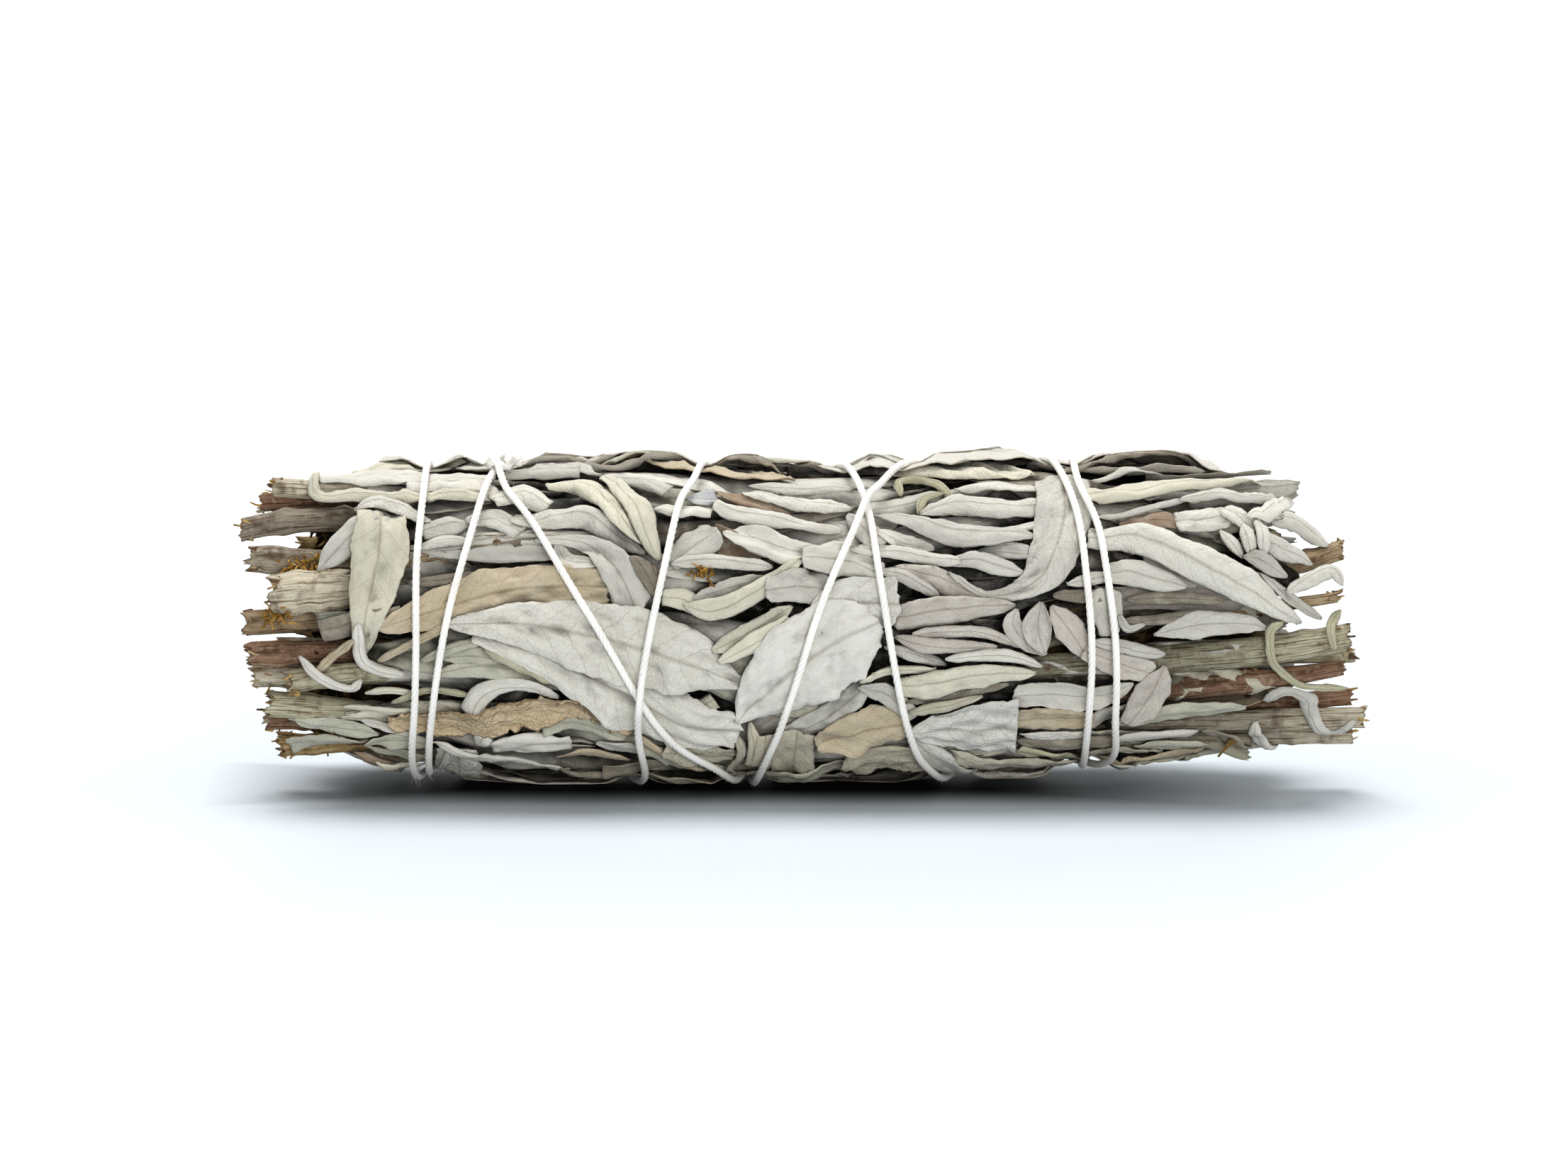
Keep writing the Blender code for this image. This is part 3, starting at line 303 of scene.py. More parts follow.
def stem_piece(node, tone, knots, frayed, rng):
    """A round stem: rings along its axis, pushed in and out by four blunt edges, ribs, knots and breaks.

    Radius = r(x) * (1.03 + 0.05 cos 4a + ribs) + knots. The end that shows is closed by rings that shrink
    to the middle, and its points stand forward or back by how frayed the stem is."""
    side, up, radius, low, high = stem_line(node)
    outer, inner = (low, high) if low + high < 0 else (high, low)
    way = 1.0 if outer > inner else -1.0
    rings, around, caps = SEEN_GRID if node in STEM_LOOKS else HIDDEN_GRID
    x = outer + (inner - outer) * np.linspace(0, 1, rings) ** 1.25
    angle = circle(around)
    edges = 0.05 * np.cos(4 * angle + rng.uniform(0, 6))
    ribs = 0.035 * np.cos(9 * angle[None] + 0.6 * np.sin(x / 4.0)[:, None])
    ribs = ribs + 0.025 * wobble(angle, rng, 6, 2.1)[None]
    size = np.polyval(radius, x)[:, None] * (1.03 + edges + ribs + 0.035 * wobble(x, rng, 5, 13.0)[:, None])
    for place, out, half in knots:
        bump = np.exp(-((x - place) / half) ** 2)[:, None]
        size = size + out * bump * (0.75 + 0.45 * np.cos(angle - rng.uniform(0, 6)))
    ragged = way * frayed * (0.8 * wobble(angle, rng, 7, 1.7) + 0.35 * rng.standard_normal(around))
    fade = np.clip(1 - np.arange(rings) / 5.0, 0, 1)[:, None]
    across = x[:, None] + fade * ragged[None]
    body = np.stack([across, np.polyval(side, x)[:, None] + size * np.cos(angle),
                     np.polyval(up, x)[:, None] + size * np.sin(angle)], -1)
    shrink = np.linspace(1, 0.02, caps + 1)[1:, None, None]
    middle = np.array([outer, np.polyval(side, outer), np.polyval(up, outer)])
    cap = middle + (body[0][None] - middle) * shrink
    cap[..., 0] -= way * (frayed * 0.5 * rng.random((caps, around)) + 0.12 * (1 - shrink[..., 0]))
    rows = caps + rings
    points = np.concatenate([cap[::-1], body]).reshape(-1, 3)
    points = np.vstack([points, points[:around].mean(0), points[-around:].mean(0)])
    k = np.arange(around)
    n = (k + 1) % around
    first, last = np.full(around, len(points) - 2), np.full(around, len(points) - 1)
    bottom = (rows - 1) * around
    triangles = np.concatenate([triangles_of(grid_faces(rows, around, closed=True)),
                                np.stack([first, n, k], -1), np.stack([last, bottom + k, bottom + n], -1)])
    if way < 0:
        triangles = triangles[:, ::-1]
    along = np.concatenate([np.zeros(caps), np.abs(x - outer)]) + rng.uniform(0, 80)
    uvs = np.stack([np.repeat(along, around), np.tile(angle * size.mean(), rows)], -1)
    cut = np.repeat(np.concatenate([np.ones(caps), [0.6], np.zeros(rings - 1)]), around)
    ring = np.repeat(np.concatenate([np.linspace(0, 1, caps), np.ones(rings)]), around)
    # The stretch inside the bundle is painted darker: painted shade.
    inside = np.clip(1.2 - np.abs(x - outer) / 30, 0.62, 1)
    shade = np.repeat(np.concatenate([np.ones(caps), inside]), around) * rng.uniform(0.92, 1.1)
    state = np.stack([cut, ring, 0 * ring], -1)
    ends = [0, -1]
    piece = make_piece("dried_" + node, points, triangles, bark, np.vstack([uvs, uvs[ends]]),
                       {"tone": STEM_TONES[tone] * np.concatenate([shade, shade[ends]])[:, None],
                        "state": np.vstack([state, state[ends]])})
    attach(piece, "root")
    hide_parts(node)
    return np.stack([x, np.polyval(side, x), np.polyval(up, x), size.mean(1)], -1)


stem_rng = np.random.default_rng(3)
bark = stem_material()
stem_axes = []
for number, node in enumerate(sorted(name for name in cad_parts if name.startswith("stem"))):
    hidden = (HIDDEN_TONES[number % len(HIDDEN_TONES)], (), HIDDEN_FRAYED)
    stem_axes.append(stem_piece(node, *STEM_LOOKS.get(node, hidden), stem_rng))


# Leaves
# Dried white sage leaves, felted with fine hairs: long blades 3 to 11 mm wide whose margins roll under as
# they dry. They are laid along the bundle, layer over layer, broken ones among them, and pressed in by the
# string.

# The outline of the bundle as it is wound: how far its top and its bottom stand from the axis.
TOP = ((-66, 16.4), (-58, 17.8), (-52, 18.9), (-35, 19.4), (-20, 19.5), (0, 18.7), (15, 19.3), (27, 19.8),
       (36, 19.2), (42, 19.6), (52, 19.0), (58, 15.5), (66, 12.5))
BOTTOM = ((-66, -15.0), (-56, -16.6), (-48, -18.3), (-35, -19.3), (0, -19.4), (20, -18.9), (32, -17.6),
          (42, -16.3), (52, -14.8), (66, -14.0))
MEAN_RADIUS = 19.3


def outline_radius(x):
    """Half of what lies between the top and the bottom of the outline at x."""
    return (np.interp(x, *zip(*TOP)) - np.interp(x, *zip(*BOTTOM))) / 2


def outline_centre(x):
    """How far the middle of the outline at x lies over the axis."""
    return (np.interp(x, *zip(*TOP)) + np.interp(x, *zip(*BOTTOM))) / 2


def on_bundle(x, angle, height):
    """The point at a place: straight out from the axis by the outline's radius plus the height."""
    radius = outline_radius(x) + height
    return np.stack([x + 0 * radius, -radius * np.cos(angle), outline_centre(x) + radius * np.sin(angle)], -1)


def angle_seen(x, z):
    """The angle at which the front shows a height z: an arcsine, held short of the very edge."""
    return np.arcsin(np.clip((z - outline_centre(x)) / outline_radius(x), -0.985, 0.985))


def through(points, count):
    """Points on the smooth curve (a Catmull-Rom spline) through some points, evenly spaced along it."""
    points = np.asarray(points, float)
    padded = np.vstack([2 * points[0] - points[1], points, 2 * points[-1] - points[-2]])
    place = np.linspace(0, len(points) - 1, 16 * len(points))
    first = np.minimum(place.astype(int), len(points) - 2)
    t = (place - first)[:, None]
    a, b, c, d = (padded[first + k] for k in range(4))
    fine = 0.5 * (2 * b + (c - a) * t + (2 * a - 5 * b + 4 * c - d) * t**2 + (3 * b - a - 3 * c + d) * t**3)
    length = np.concatenate([[0], np.cumsum(np.linalg.norm(np.diff(fine, axis=0), axis=1))])
    even = np.linspace(0, length[-1], count)
    spaced = np.stack([np.interp(even, length, column) for column in fine.T], -1)
    return spaced, np.interp(even, length, place / (len(points) - 1)), length[-1]


# The string's way: each turn comes down the front through these places (x, height seen) and goes up behind.
FRONT_TURNS = (
    ((-36.4, 18.4), (-38.6, 11.4), (-40.1, 7.1), (-41.8, -1.0), (-43.0, -9.9), (-43.6, -17.5)),
    ((-43.9, 18.6), (-44.6, 10.0), (-44.5, 0.0), (-44.9, -10.0), (-44.9, -18.0)),
    ((-35.7, 19.0), (-34.0, 17.1), (-30.7, 13.2), (-27.9, 8.6), (-24.7, 3.6), (-22.0, -0.7), (-19.9, -5.1),
     (-15.1, -12.7), (-12.3, -15.3), (-8.0, -18.6)),
    ((6.0, 18.2), (7.6, 15.1), (8.2, 10.6), (9.3, 4.5), (10.0, -0.3), (11.9, -10.3), (14.1, -16.4),
     (16.0, -18.3)),
    ((29.7, 19.0), (31.7, 14.9), (32.2, 10.1), (32.8, 4.7), (33.2, -1.0), (32.8, -9.9), (32.5, -16.8)),
    ((31.4, 18.8), (33.6, 15.6), (34.3, 11.4), (35.2, 5.8), (35.9, 0.3), (36.0, -4.0), (35.8, -13.0),
     (34.6, -16.9)),
    ((9.3, 18.0), (7.3, 15.8), (5.2, 11.7), (2.3, 5.8), (0.5, 0.3), (-0.8, -4.4), (-2.7, -10.3),
     (-4.2, -14.7), (-5.7, -18.7)),
    ((-12.3, 18.8), (-13.8, 17.7), (-15.5, 11.2), (-16.8, 5.8), (-17.9, 0.3), (-18.8, -4.4), (-19.2, -8.8),
     (-19.2, -14.2), (-19.0, -18.8)),
)
# Its two ends lie at the knot, given as (x, angle): the first under it, the second running out of it.
START = ((-35.3, math.radians(84)), (-35.9, math.radians(78)))
TAIL = ((-34.2, math.radians(96)), (-34.1, math.radians(87)), (-32.8, math.radians(83)),
        (-31.9, math.radians(85)))
STRING_HEIGHT = -0.5
ROUTE_POINTS = 2200
ROUTE_WINDOW = 41
CROSSING_RISE, CROSSING_REACH = 1.25, 1.65
UNDERSIDE = math.radians(14)


def string_route():
    """The string's places as (x, angle), their heights, and the length up to each.

    A later turn rises over an earlier one where they cross. On the underside, where the bundle's weight
    presses, the earlier one sinks instead."""
    route = list(START) + [(x, float(angle_seen(x, z)) - 2 * math.pi * turn)
                           for turn, front in enumerate(FRONT_TURNS) for x, z in front]
    route += [(x, angle - 2 * math.pi * len(FRONT_TURNS)) for x, angle in TAIL]
    places, _, length = through(np.array(route) * (1.0, MEAN_RADIUS), ROUTE_POINTS)
    soft = np.hanning(ROUTE_WINDOW) / np.hanning(ROUTE_WINDOW).sum()
    padded = (np.pad(column, ROUTE_WINDOW // 2, mode="edge") for column in places.T)
    places = np.stack([np.convolve(column, soft, "valid") for column in padded], -1) / (1.0, MEAN_RADIUS)
    along = np.linspace(0, length, len(places))
    under = (places[:, 1] + 1.5 * math.pi) % (2 * math.pi) - math.pi
    weight = np.exp(-0.5 * (under / UNDERSIDE) ** 2)
    apart = (places[:, None, 1] - places[None, :, 1] + math.pi) % (2 * math.pi) - math.pi
    gap = np.hypot(places[:, None, 0] - places[None, :, 0], MEAN_RADIUS * apart)
    over = CROSSING_RISE * np.exp(-((gap / CROSSING_REACH) ** 2))
    over = over * (along[None] < along[:, None] - 15) * (gap < 4)
    lowered = (over * weight[:, None]).max(0)
    raised = np.zeros(len(places))
    for _ in range(2):
        raised = ((raised[None] + 1) * over * (1 - weight[:, None])).max(1)
    return places, STRING_HEIGHT - 0.35 * weight + raised - lowered, along


route, route_height, route_length = string_route()

# A map of the bundle rolled out flat, rows along x and columns round it, holds the height of the leaves
# laid so far.
CELL = 0.35
MAP_FROM, MAP_LENGTH = -68.0, 136
MAP_ROWS = int(MAP_LENGTH / CELL) + 1
MAP_COLUMNS = int(2 * math.pi * MEAN_RADIUS / CELL)
MIDDLE_HEIGHT = -6.5
leaf_tops = np.full((MAP_ROWS, MAP_COLUMNS), MIDDLE_HEIGHT)


def cells(x, angle):
    """Row and column of a place on the map."""
    row = np.clip(np.rint((x - MAP_FROM) / CELL).astype(int), 0, MAP_ROWS - 1)
    return row, np.rint(angle / (2 * math.pi) * MAP_COLUMNS).astype(int) % MAP_COLUMNS


def pressed_map():
    """The height that the string lets the leaves reach: that of its lower side, rising to both sides of it.

    Height = string's height - 0.55 + 0.17 * (distance to the string)^2, the lowest of all turns."""
    x = MAP_FROM + CELL * np.arange(MAP_ROWS)
    angle = 2 * math.pi * np.arange(MAP_COLUMNS) / MAP_COLUMNS
    pressed = np.full((MAP_ROWS, MAP_COLUMNS), 9.0)
    for (place, turn), height in zip(route[::2], route_height[::2]):
        near = np.abs(x - place) < 4.2
        apart = (angle - turn + math.pi) % (2 * math.pi) - math.pi
        gap2 = (x[near, None] - place) ** 2 + (MEAN_RADIUS * apart[None]) ** 2
        pressed[near] = np.minimum(pressed[near], min(height, STRING_HEIGHT) - 0.55 + 0.17 * gap2)
    return pressed


pressed_to = pressed_map()


def stems_on_map():
    """Raises the map to the stems that lie near the outside, so that leaves pass over them."""
    for x, y, z, r in stem_axes:
        for off in np.linspace(-1, 1, 9):
            reach, turn = np.hypot(y, z - outline_centre(x)), np.arctan2(z - outline_centre(x), -y)
            height = reach + r * math.sqrt(1 - (0.98 * off) ** 2) - outline_radius(x)
            np.maximum.at(leaf_tops, cells(x, turn + off * r / reach), height)


def finer_axis(axis, count=260):
    """A stem's axis and radius as rows x, y, z and r with more points."""
    share = np.linspace(0, 1, len(axis))
    return np.stack([np.interp(np.linspace(0, 1, count), share, column) for column in axis.T])


stem_axes = [finer_axis(axis) for axis in stem_axes]
stems_on_map()

# How a leaf is bent, in degrees: how far each margin turns under, then how near the margin that turn
# starts, how far the blade folds at the midrib, and how far it may lean to one side.
FORMS = {
    "flat": (62, 5.0, -6, 9),
    "roll": (150, 2.5, 2, 18),
    "cup": (-66, 2.2, 8, 10),
    "ribbon": (112, 1.4, 0, 8),
    "cut": (14, 4.0, 5, 0),
}
LEAF_THICKNESS = 0.22
OUTER_BED = -1.9
PROBES = (-0.55, 0.0, 0.55)  # how far round a point a leaf feels for what lies under it


def cross_section(form, widths, lengthwise, columns, rng):
    """How far across and how high each point of a leaf stands from its midrib, its distance from it along
    the blade, and its place t from margin to margin, -1 to 1.

    The blade's slope is fold (1 - |t|) + curl |t|^p on each side of the midrib, and a lean to one side.
    Curl and lean wander along the leaf, and one margin is rolled more than the other. The slope's cosine
    adds up to the reach across, its sine to the height. Both are scaled to the width that shows."""
    curl, power, fold, lean = FORMS[form]
    t = np.linspace(-1, 1, columns)
    t = np.sign(t) * (1 - (1 - np.abs(t)) ** 1.25)
    middle = columns // 2
    between = (t[1:] + t[:-1]) / 2
    uneven = rng.uniform(-0.55, 0.55)
    sides = np.stack([1 + way * uneven + 0.24 * wobble(lengthwise, rng, 4, 19.0) for way in (-1, 1)])
    leaning = math.radians(lean) * (rng.uniform(-1, 1) + 0.5 * wobble(lengthwise, rng, 3, 24.0))
    turned = np.radians(curl) * sides[(between > 0).astype(int)].T * np.abs(between) ** power
    slope = turned + math.radians(fold) * (1 - np.abs(between)) + leaning[:, None] * np.sign(between)
    run, rise = np.cos(slope) * np.diff(t), -np.sin(slope) * np.sign(between) * np.diff(t)
    across = np.concatenate([np.zeros((len(widths), 1)), np.cumsum(run, 1)], 1)
    height = np.concatenate([np.zeros((len(widths), 1)), np.cumsum(rise, 1)], 1)
    across, height = across - across[:, [middle]], height - height[:, [middle]]
    scale = widths[:, None] / (across.max(1) - across.min(1))[:, None]
    centred = across - 0.5 * (across.max(1) + across.min(1))[:, None]
    return centred * scale, height * scale, t * scale, t


def ripples(u, v, rng, height, shortest, longest):
    """Low waves of a dried blade, most of them folds that run along it: six plane waves added up, every
    second one sharpened to a crease."""
    total = np.zeros(np.broadcast(u, v).shape)
    for k in range(6):
        length, turn = rng.uniform(shortest, longest), rng.normal(math.pi / 2, 0.4)
        wave = np.sin(2 * math.pi * (u * math.cos(turn) + v * math.sin(turn)) / length + rng.uniform(0, 6.28))
        total += 1.6 - 2.4 * np.abs(wave) if k % 2 else wave
    return height * total / 2.4


def soft_least(a, b, soft=0.14):
    """The smaller of two heights, rounded off where they meet."""
    return 0.5 * (a + b - np.sqrt((a - b) ** 2 + soft**2))


def slab(top, t):
    """A closed blade from the grid of its upper side: the lower side is that grid moved in along its own
    normal, less far near the margins."""
    rows, columns = top.shape[:2]
    normal = unit(np.cross(np.gradient(top, axis=0), np.gradient(top, axis=1)), EPS)
    thin = LEAF_THICKNESS * (1 - 0.45 * np.abs(t) ** 4)[None, :, None]
    points = np.concatenate([top.reshape(-1, 3), (top - thin * normal).reshape(-1, 3)])
    face = grid_faces(rows, columns)
    under = rows * columns
    r, c = np.arange(rows - 1), np.arange(columns - 1)
    first, last = r * columns, r * columns + columns - 1
    end = (rows - 1) * columns + c
    rims = (np.stack([c, c + 1, c + 1 + under, c + under], -1),
            np.stack([end + 1, end, end + under, end + 1 + under], -1),
            np.stack([first + columns, first, first + under, first + columns + under], -1),
            np.stack([last, last + columns, last + columns + under, last + under], -1))
    return points, np.concatenate([face[:, ::-1], face + under, *rims])


def rough_ends(place, ahead, widths, t, length, ends, rng):
    """Tears the ends of a leaf that are wide: moves their last rows along it, each point its own way."""
    station = np.linspace(0, length, len(widths))
    for end, away in ((0, station), (-1, length - station)):
        torn = np.clip((widths[end] - 1.8) / 2.5, 0, 1) * ends
        jag = 0.35 * wobble(t * widths[end], rng, 4, 8.0) + 0.05 * rng.standard_normal(len(t))
        jag -= 0.9 * np.abs(t) ** 3
        moved = (torn * np.exp(-away / 1.6))[:, None, None] * jag[None, :, None] * ahead[:, None]
        place = place - moved * (1, -1)[end]
    return place


def halved(grid):
    """The grid with a point added half way between each two, in both directions."""
    grid = np.repeat(np.repeat(grid, 2, 0), 2, 1)
    grid = (grid[:-1] + grid[1:]) / 2
    return (grid[:, :-1] + grid[:, 1:]) / 2


def laid_leaf(form, widths, line, length, rng, lift=0.12, bed=OUTER_BED, limit=0.85, spacing=0.4, torn=1.0):
    """One leaf, laid along a line of (x, angle) over what is on the map already, and added to the map.

    Height = what it rests on + its own cross-section, held down by the string and up by what is under it."""
    rows, columns = len(line), 2 * int(np.clip(widths.max() / spacing / 2 + 1, 3, 13)) + 1
    lengthwise = np.linspace(0, length, rows)
    radius = outline_radius(line[:, 0])
    flat = np.stack([line[:, 0], line[:, 1] * radius], -1)
    ahead = unit(np.gradient(flat, axis=0), EPS)
    sideways = np.stack([-ahead[:, 1], ahead[:, 0]], -1)
    across, height, along_blade, t = cross_section(form, widths, lengthwise, columns, rng)
    margin = 0.02 * rng.standard_normal((rows, 2))
    margin = margin + 0.06 * np.stack([wobble(lengthwise, rng, 4, 5.5) for _ in range(2)], -1)
    margin *= torn**3
    across = across + margin[:, (t > 0).astype(int)] * np.abs(t) ** 6 * np.sign(t)
    place = flat[:, None] + sideways[:, None] * across[..., None]
    place = rough_ends(place, ahead, widths, t, length, 0.0 if form == "cut" else torn, rng)
    angle = place[..., 1] / radius[:, None]

    near = np.stack([leaf_tops[cells(place[..., 0] + dx, angle + ds / MEAN_RADIUS)]
                     for dx in PROBES for ds in PROBES])
    near = np.maximum(near, bed)
    own = 0.5 * near.mean(0) + 0.5 * near.max(0)
    inner = own[:, columns // 5:columns - columns // 5]
    base = 0.45 * inner.mean(1) + 0.55 * inner.max(1)
    base = smoothed(base, max(3, int(2.6 / (length / rows)) | 1))

    low = np.minimum(height.min(1), 0)[:, None]
    rest = base[:, None] + lift + 0.4 * (own - base[:, None])
    pressed = pressed_to[cells(place[..., 0], angle)]
    crest = height - low
    squash = np.clip((np.minimum(pressed, limit) - rest) / np.maximum(crest.max(1), 0.25)[:, None], 0.14, 1.0)
    shaped = rest + crest * squash
    shaped += ripples(lengthwise[:, None], along_blade, rng, 0.06 + 0.03 * min(widths.max(), 6), 2.2, 7.0)
    shaped += 0.16 * np.abs(t) ** 2 * wobble(lengthwise, rng, 4, 11.0)[:, None] * squash
    held = soft_least(soft_least(shaped, pressed), limit)
    # On top of what lies there. Beside the string each layer adds less, so that none climbs over it.
    contact = own + 0.10
    contact -= 0.3 * np.maximum(contact - pressed - 0.1, 0)
    top = -soft_least(-held, -contact, 0.08)
    finer = [halved(halved(grid) if spacing > 0.6 else grid) for grid in (place[..., 0], angle, top)]
    np.maximum.at(leaf_tops, cells(finer[0], finer[1]), finer[2])
    grid = on_bundle(place[..., 0], angle, top)
    blade_uv = np.stack([lengthwise[:, None] + 0 * along_blade, along_blade], -1)
    return grid, t, blade_uv, (place[..., 0], angle, top)


def height_around():
    """The mean height of the finished map round each of its places, near ones counting more."""
    close, far = 3, 8
    padded = np.pad(leaf_tops, ((far, far), (0, 0)), mode="edge")
    mean = np.zeros_like(padded)
    for reach, share in ((close, 0.6), (far, 0.4)):
        box = padded
        for way in (0, 1):
            box = sum(np.roll(box, k, axis=way) for k in range(-reach, reach + 1)) / (2 * reach + 1)
        mean += share * box
    return mean[far:-far]


def shade_of(laid):
    """How much of its tone each point of a laid leaf keeps. The deeper it lies under what is round it, the
    darker it is painted, as painted shade, and the leaves low on the bundle are painted lighter, as painted
    light.

    Tone = (1 + 0.28 * how low) * exp(-1.4 * depth in millimetres)."""
    x, angle, top = laid
    # Painted light on the leaves low on the bundle, and painted shade by depth under the leaves round it.
    low = np.clip(-np.sin(angle) - 0.45, 0, 0.5) / 0.5
    depth = np.clip(around_heights[cells(x, angle)] - top - 0.15, 0, 2.4)
    return (1 + 0.28 * low) * np.exp(-1.4 * depth)


def leaf_parts(grid, t, blade_uv, laid, tint, rng, deep=0.0):
    """A leaf as points, faces, UV in millimetres and what its material reads: tone and state."""
    points, faces = slab(grid, t)
    count = grid.shape[0] * grid.shape[1]
    uv = np.tile(blade_uv.reshape(-1, 2) + rng.uniform(0, 300, 2), (2, 1))
    lower = np.repeat((0.0, 1.0), count)
    outward = np.tile(np.abs(t), 2 * grid.shape[0])
    drawn = rng.random()
    # Painted shade: laid leaves are darkened by their depth, and other pieces by the share given as deep.
    shade = np.full(count, 1.0 - deep) if laid is None else shade_of(laid).ravel()
    tone = np.tile(shade, 2)[:, None] * np.asarray(tint) * (1 + rng.uniform(-0.07, 0.07))
    return points, faces, uv, tone, np.stack([lower, outward, np.full(2 * count, drawn)], -1)


def joined(parts):
    """Several parts as the arrays of one mesh: points, faces, UVs and the values of each point."""
    starts = np.cumsum([0] + [len(part[0]) for part in parts[:-1]])
    points, _, uvs, tones, states = (np.concatenate([part[k] for part in parts]) for k in range(5))
    faces = np.concatenate([part[1] + start for part, start in zip(parts, starts)])
    return points, faces, uvs, {"tone": tones, "state": states}


def seen_leaf(form, widths, shown, rng, torn):
    """A leaf given by what shows of it from the front: its places and its widths, one for each place."""
    path = np.array([(x, float(angle_seen(x, z)) * MEAN_RADIUS) for x, z in shown])
    length = through(path, 12)[2]
    line, share, length = through(path, int(np.clip(length / 0.42, 14, 120)))
    wide = np.interp(share * (len(widths) - 1), np.arange(len(widths)), widths)
    wide = smoothed(wide, max(3, len(line) // 10 | 1))
    away = np.linspace(0, length, len(line))
    for end, distance in ((0, away), (-1, length - away)):
        if widths[end] < 1.8:
            wide = wide * np.sqrt(np.clip((distance + 0.12) / (1.1 + 0.4 * widths[end]), 0, 1))
    wide = wide * (1 + 0.05 * wobble(away, rng, 4, 7.0))
    return laid_leaf(form, wide, line / (1.0, MEAN_RADIUS), length, rng, torn=torn)


def drawn_leaf(x, angle, rng, widths=(4.5, 9.0), spacing=0.74, **more):
    """A leaf of drawn size and slant round a place: a lance shape with a point and a stalk end."""
    length, width = rng.uniform(20, 36), rng.uniform(*widths)
    form = rng.choice(("flat", "roll", "cup"), p=(0.42, 0.43, 0.15))
    if form == "roll":
        width *= 0.6
    lean, bend = rng.normal(0, 0.24), rng.uniform(-2.2, 2.2)
    rows = int(np.clip(length / spacing, 12, 60))
    s = np.linspace(0, 1, rows)
    line_x = x + rng.choice((-1, 1)) * (s - 0.5) * length * math.cos(lean)
    line_s = angle * MEAN_RADIUS + (s - 0.5) * length * math.sin(lean) + bend * 4 * s * (1 - s)
    reach = (-56.0 + rng.uniform(-2.5, 3.5), 56.0 + rng.uniform(-3.5, 2.5))
    keep = (line_x > reach[0]) & (line_x < reach[1])
    shape = np.sin(math.pi * np.clip(s, 0.0, 1.0)) ** 0.7 * (1.25 - 0.5 * s) * width + 0.5
    shape *= np.sqrt(np.clip((1 - s) * length / 1.6, 0, 1))
    line = np.stack([line_x, line_s / MEAN_RADIUS], -1)[keep]
    return laid_leaf(form, shape[keep], line, length * keep.mean(), rng, spacing=spacing, **more)


# The dark tint is painted shade on the front leaves that lie in shade; among the drawn leaves it is a darker
# tone.
TINTS = {
    "pale": srgb(219, 217, 209), "grey": srgb(204, 202, 195), "cream": srgb(217, 214, 198),
    "tan": srgb(201, 189, 166), "green": srgb(193, 192, 177), "olive": srgb(186, 183, 160),
    "dark": srgb(152, 145, 133), "beige": srgb(198, 193, 176), "pink": srgb(203, 197, 189),
    "brown": srgb(166, 149, 131), "smooth": srgb(219, 218, 212), "blue": srgb(196, 198, 199),
}
DRAWN_TINTS = ("pale", "grey", "grey", "cream", "green", "grey", "beige", "pink", "dark", "pale", "tan",
               "grey")

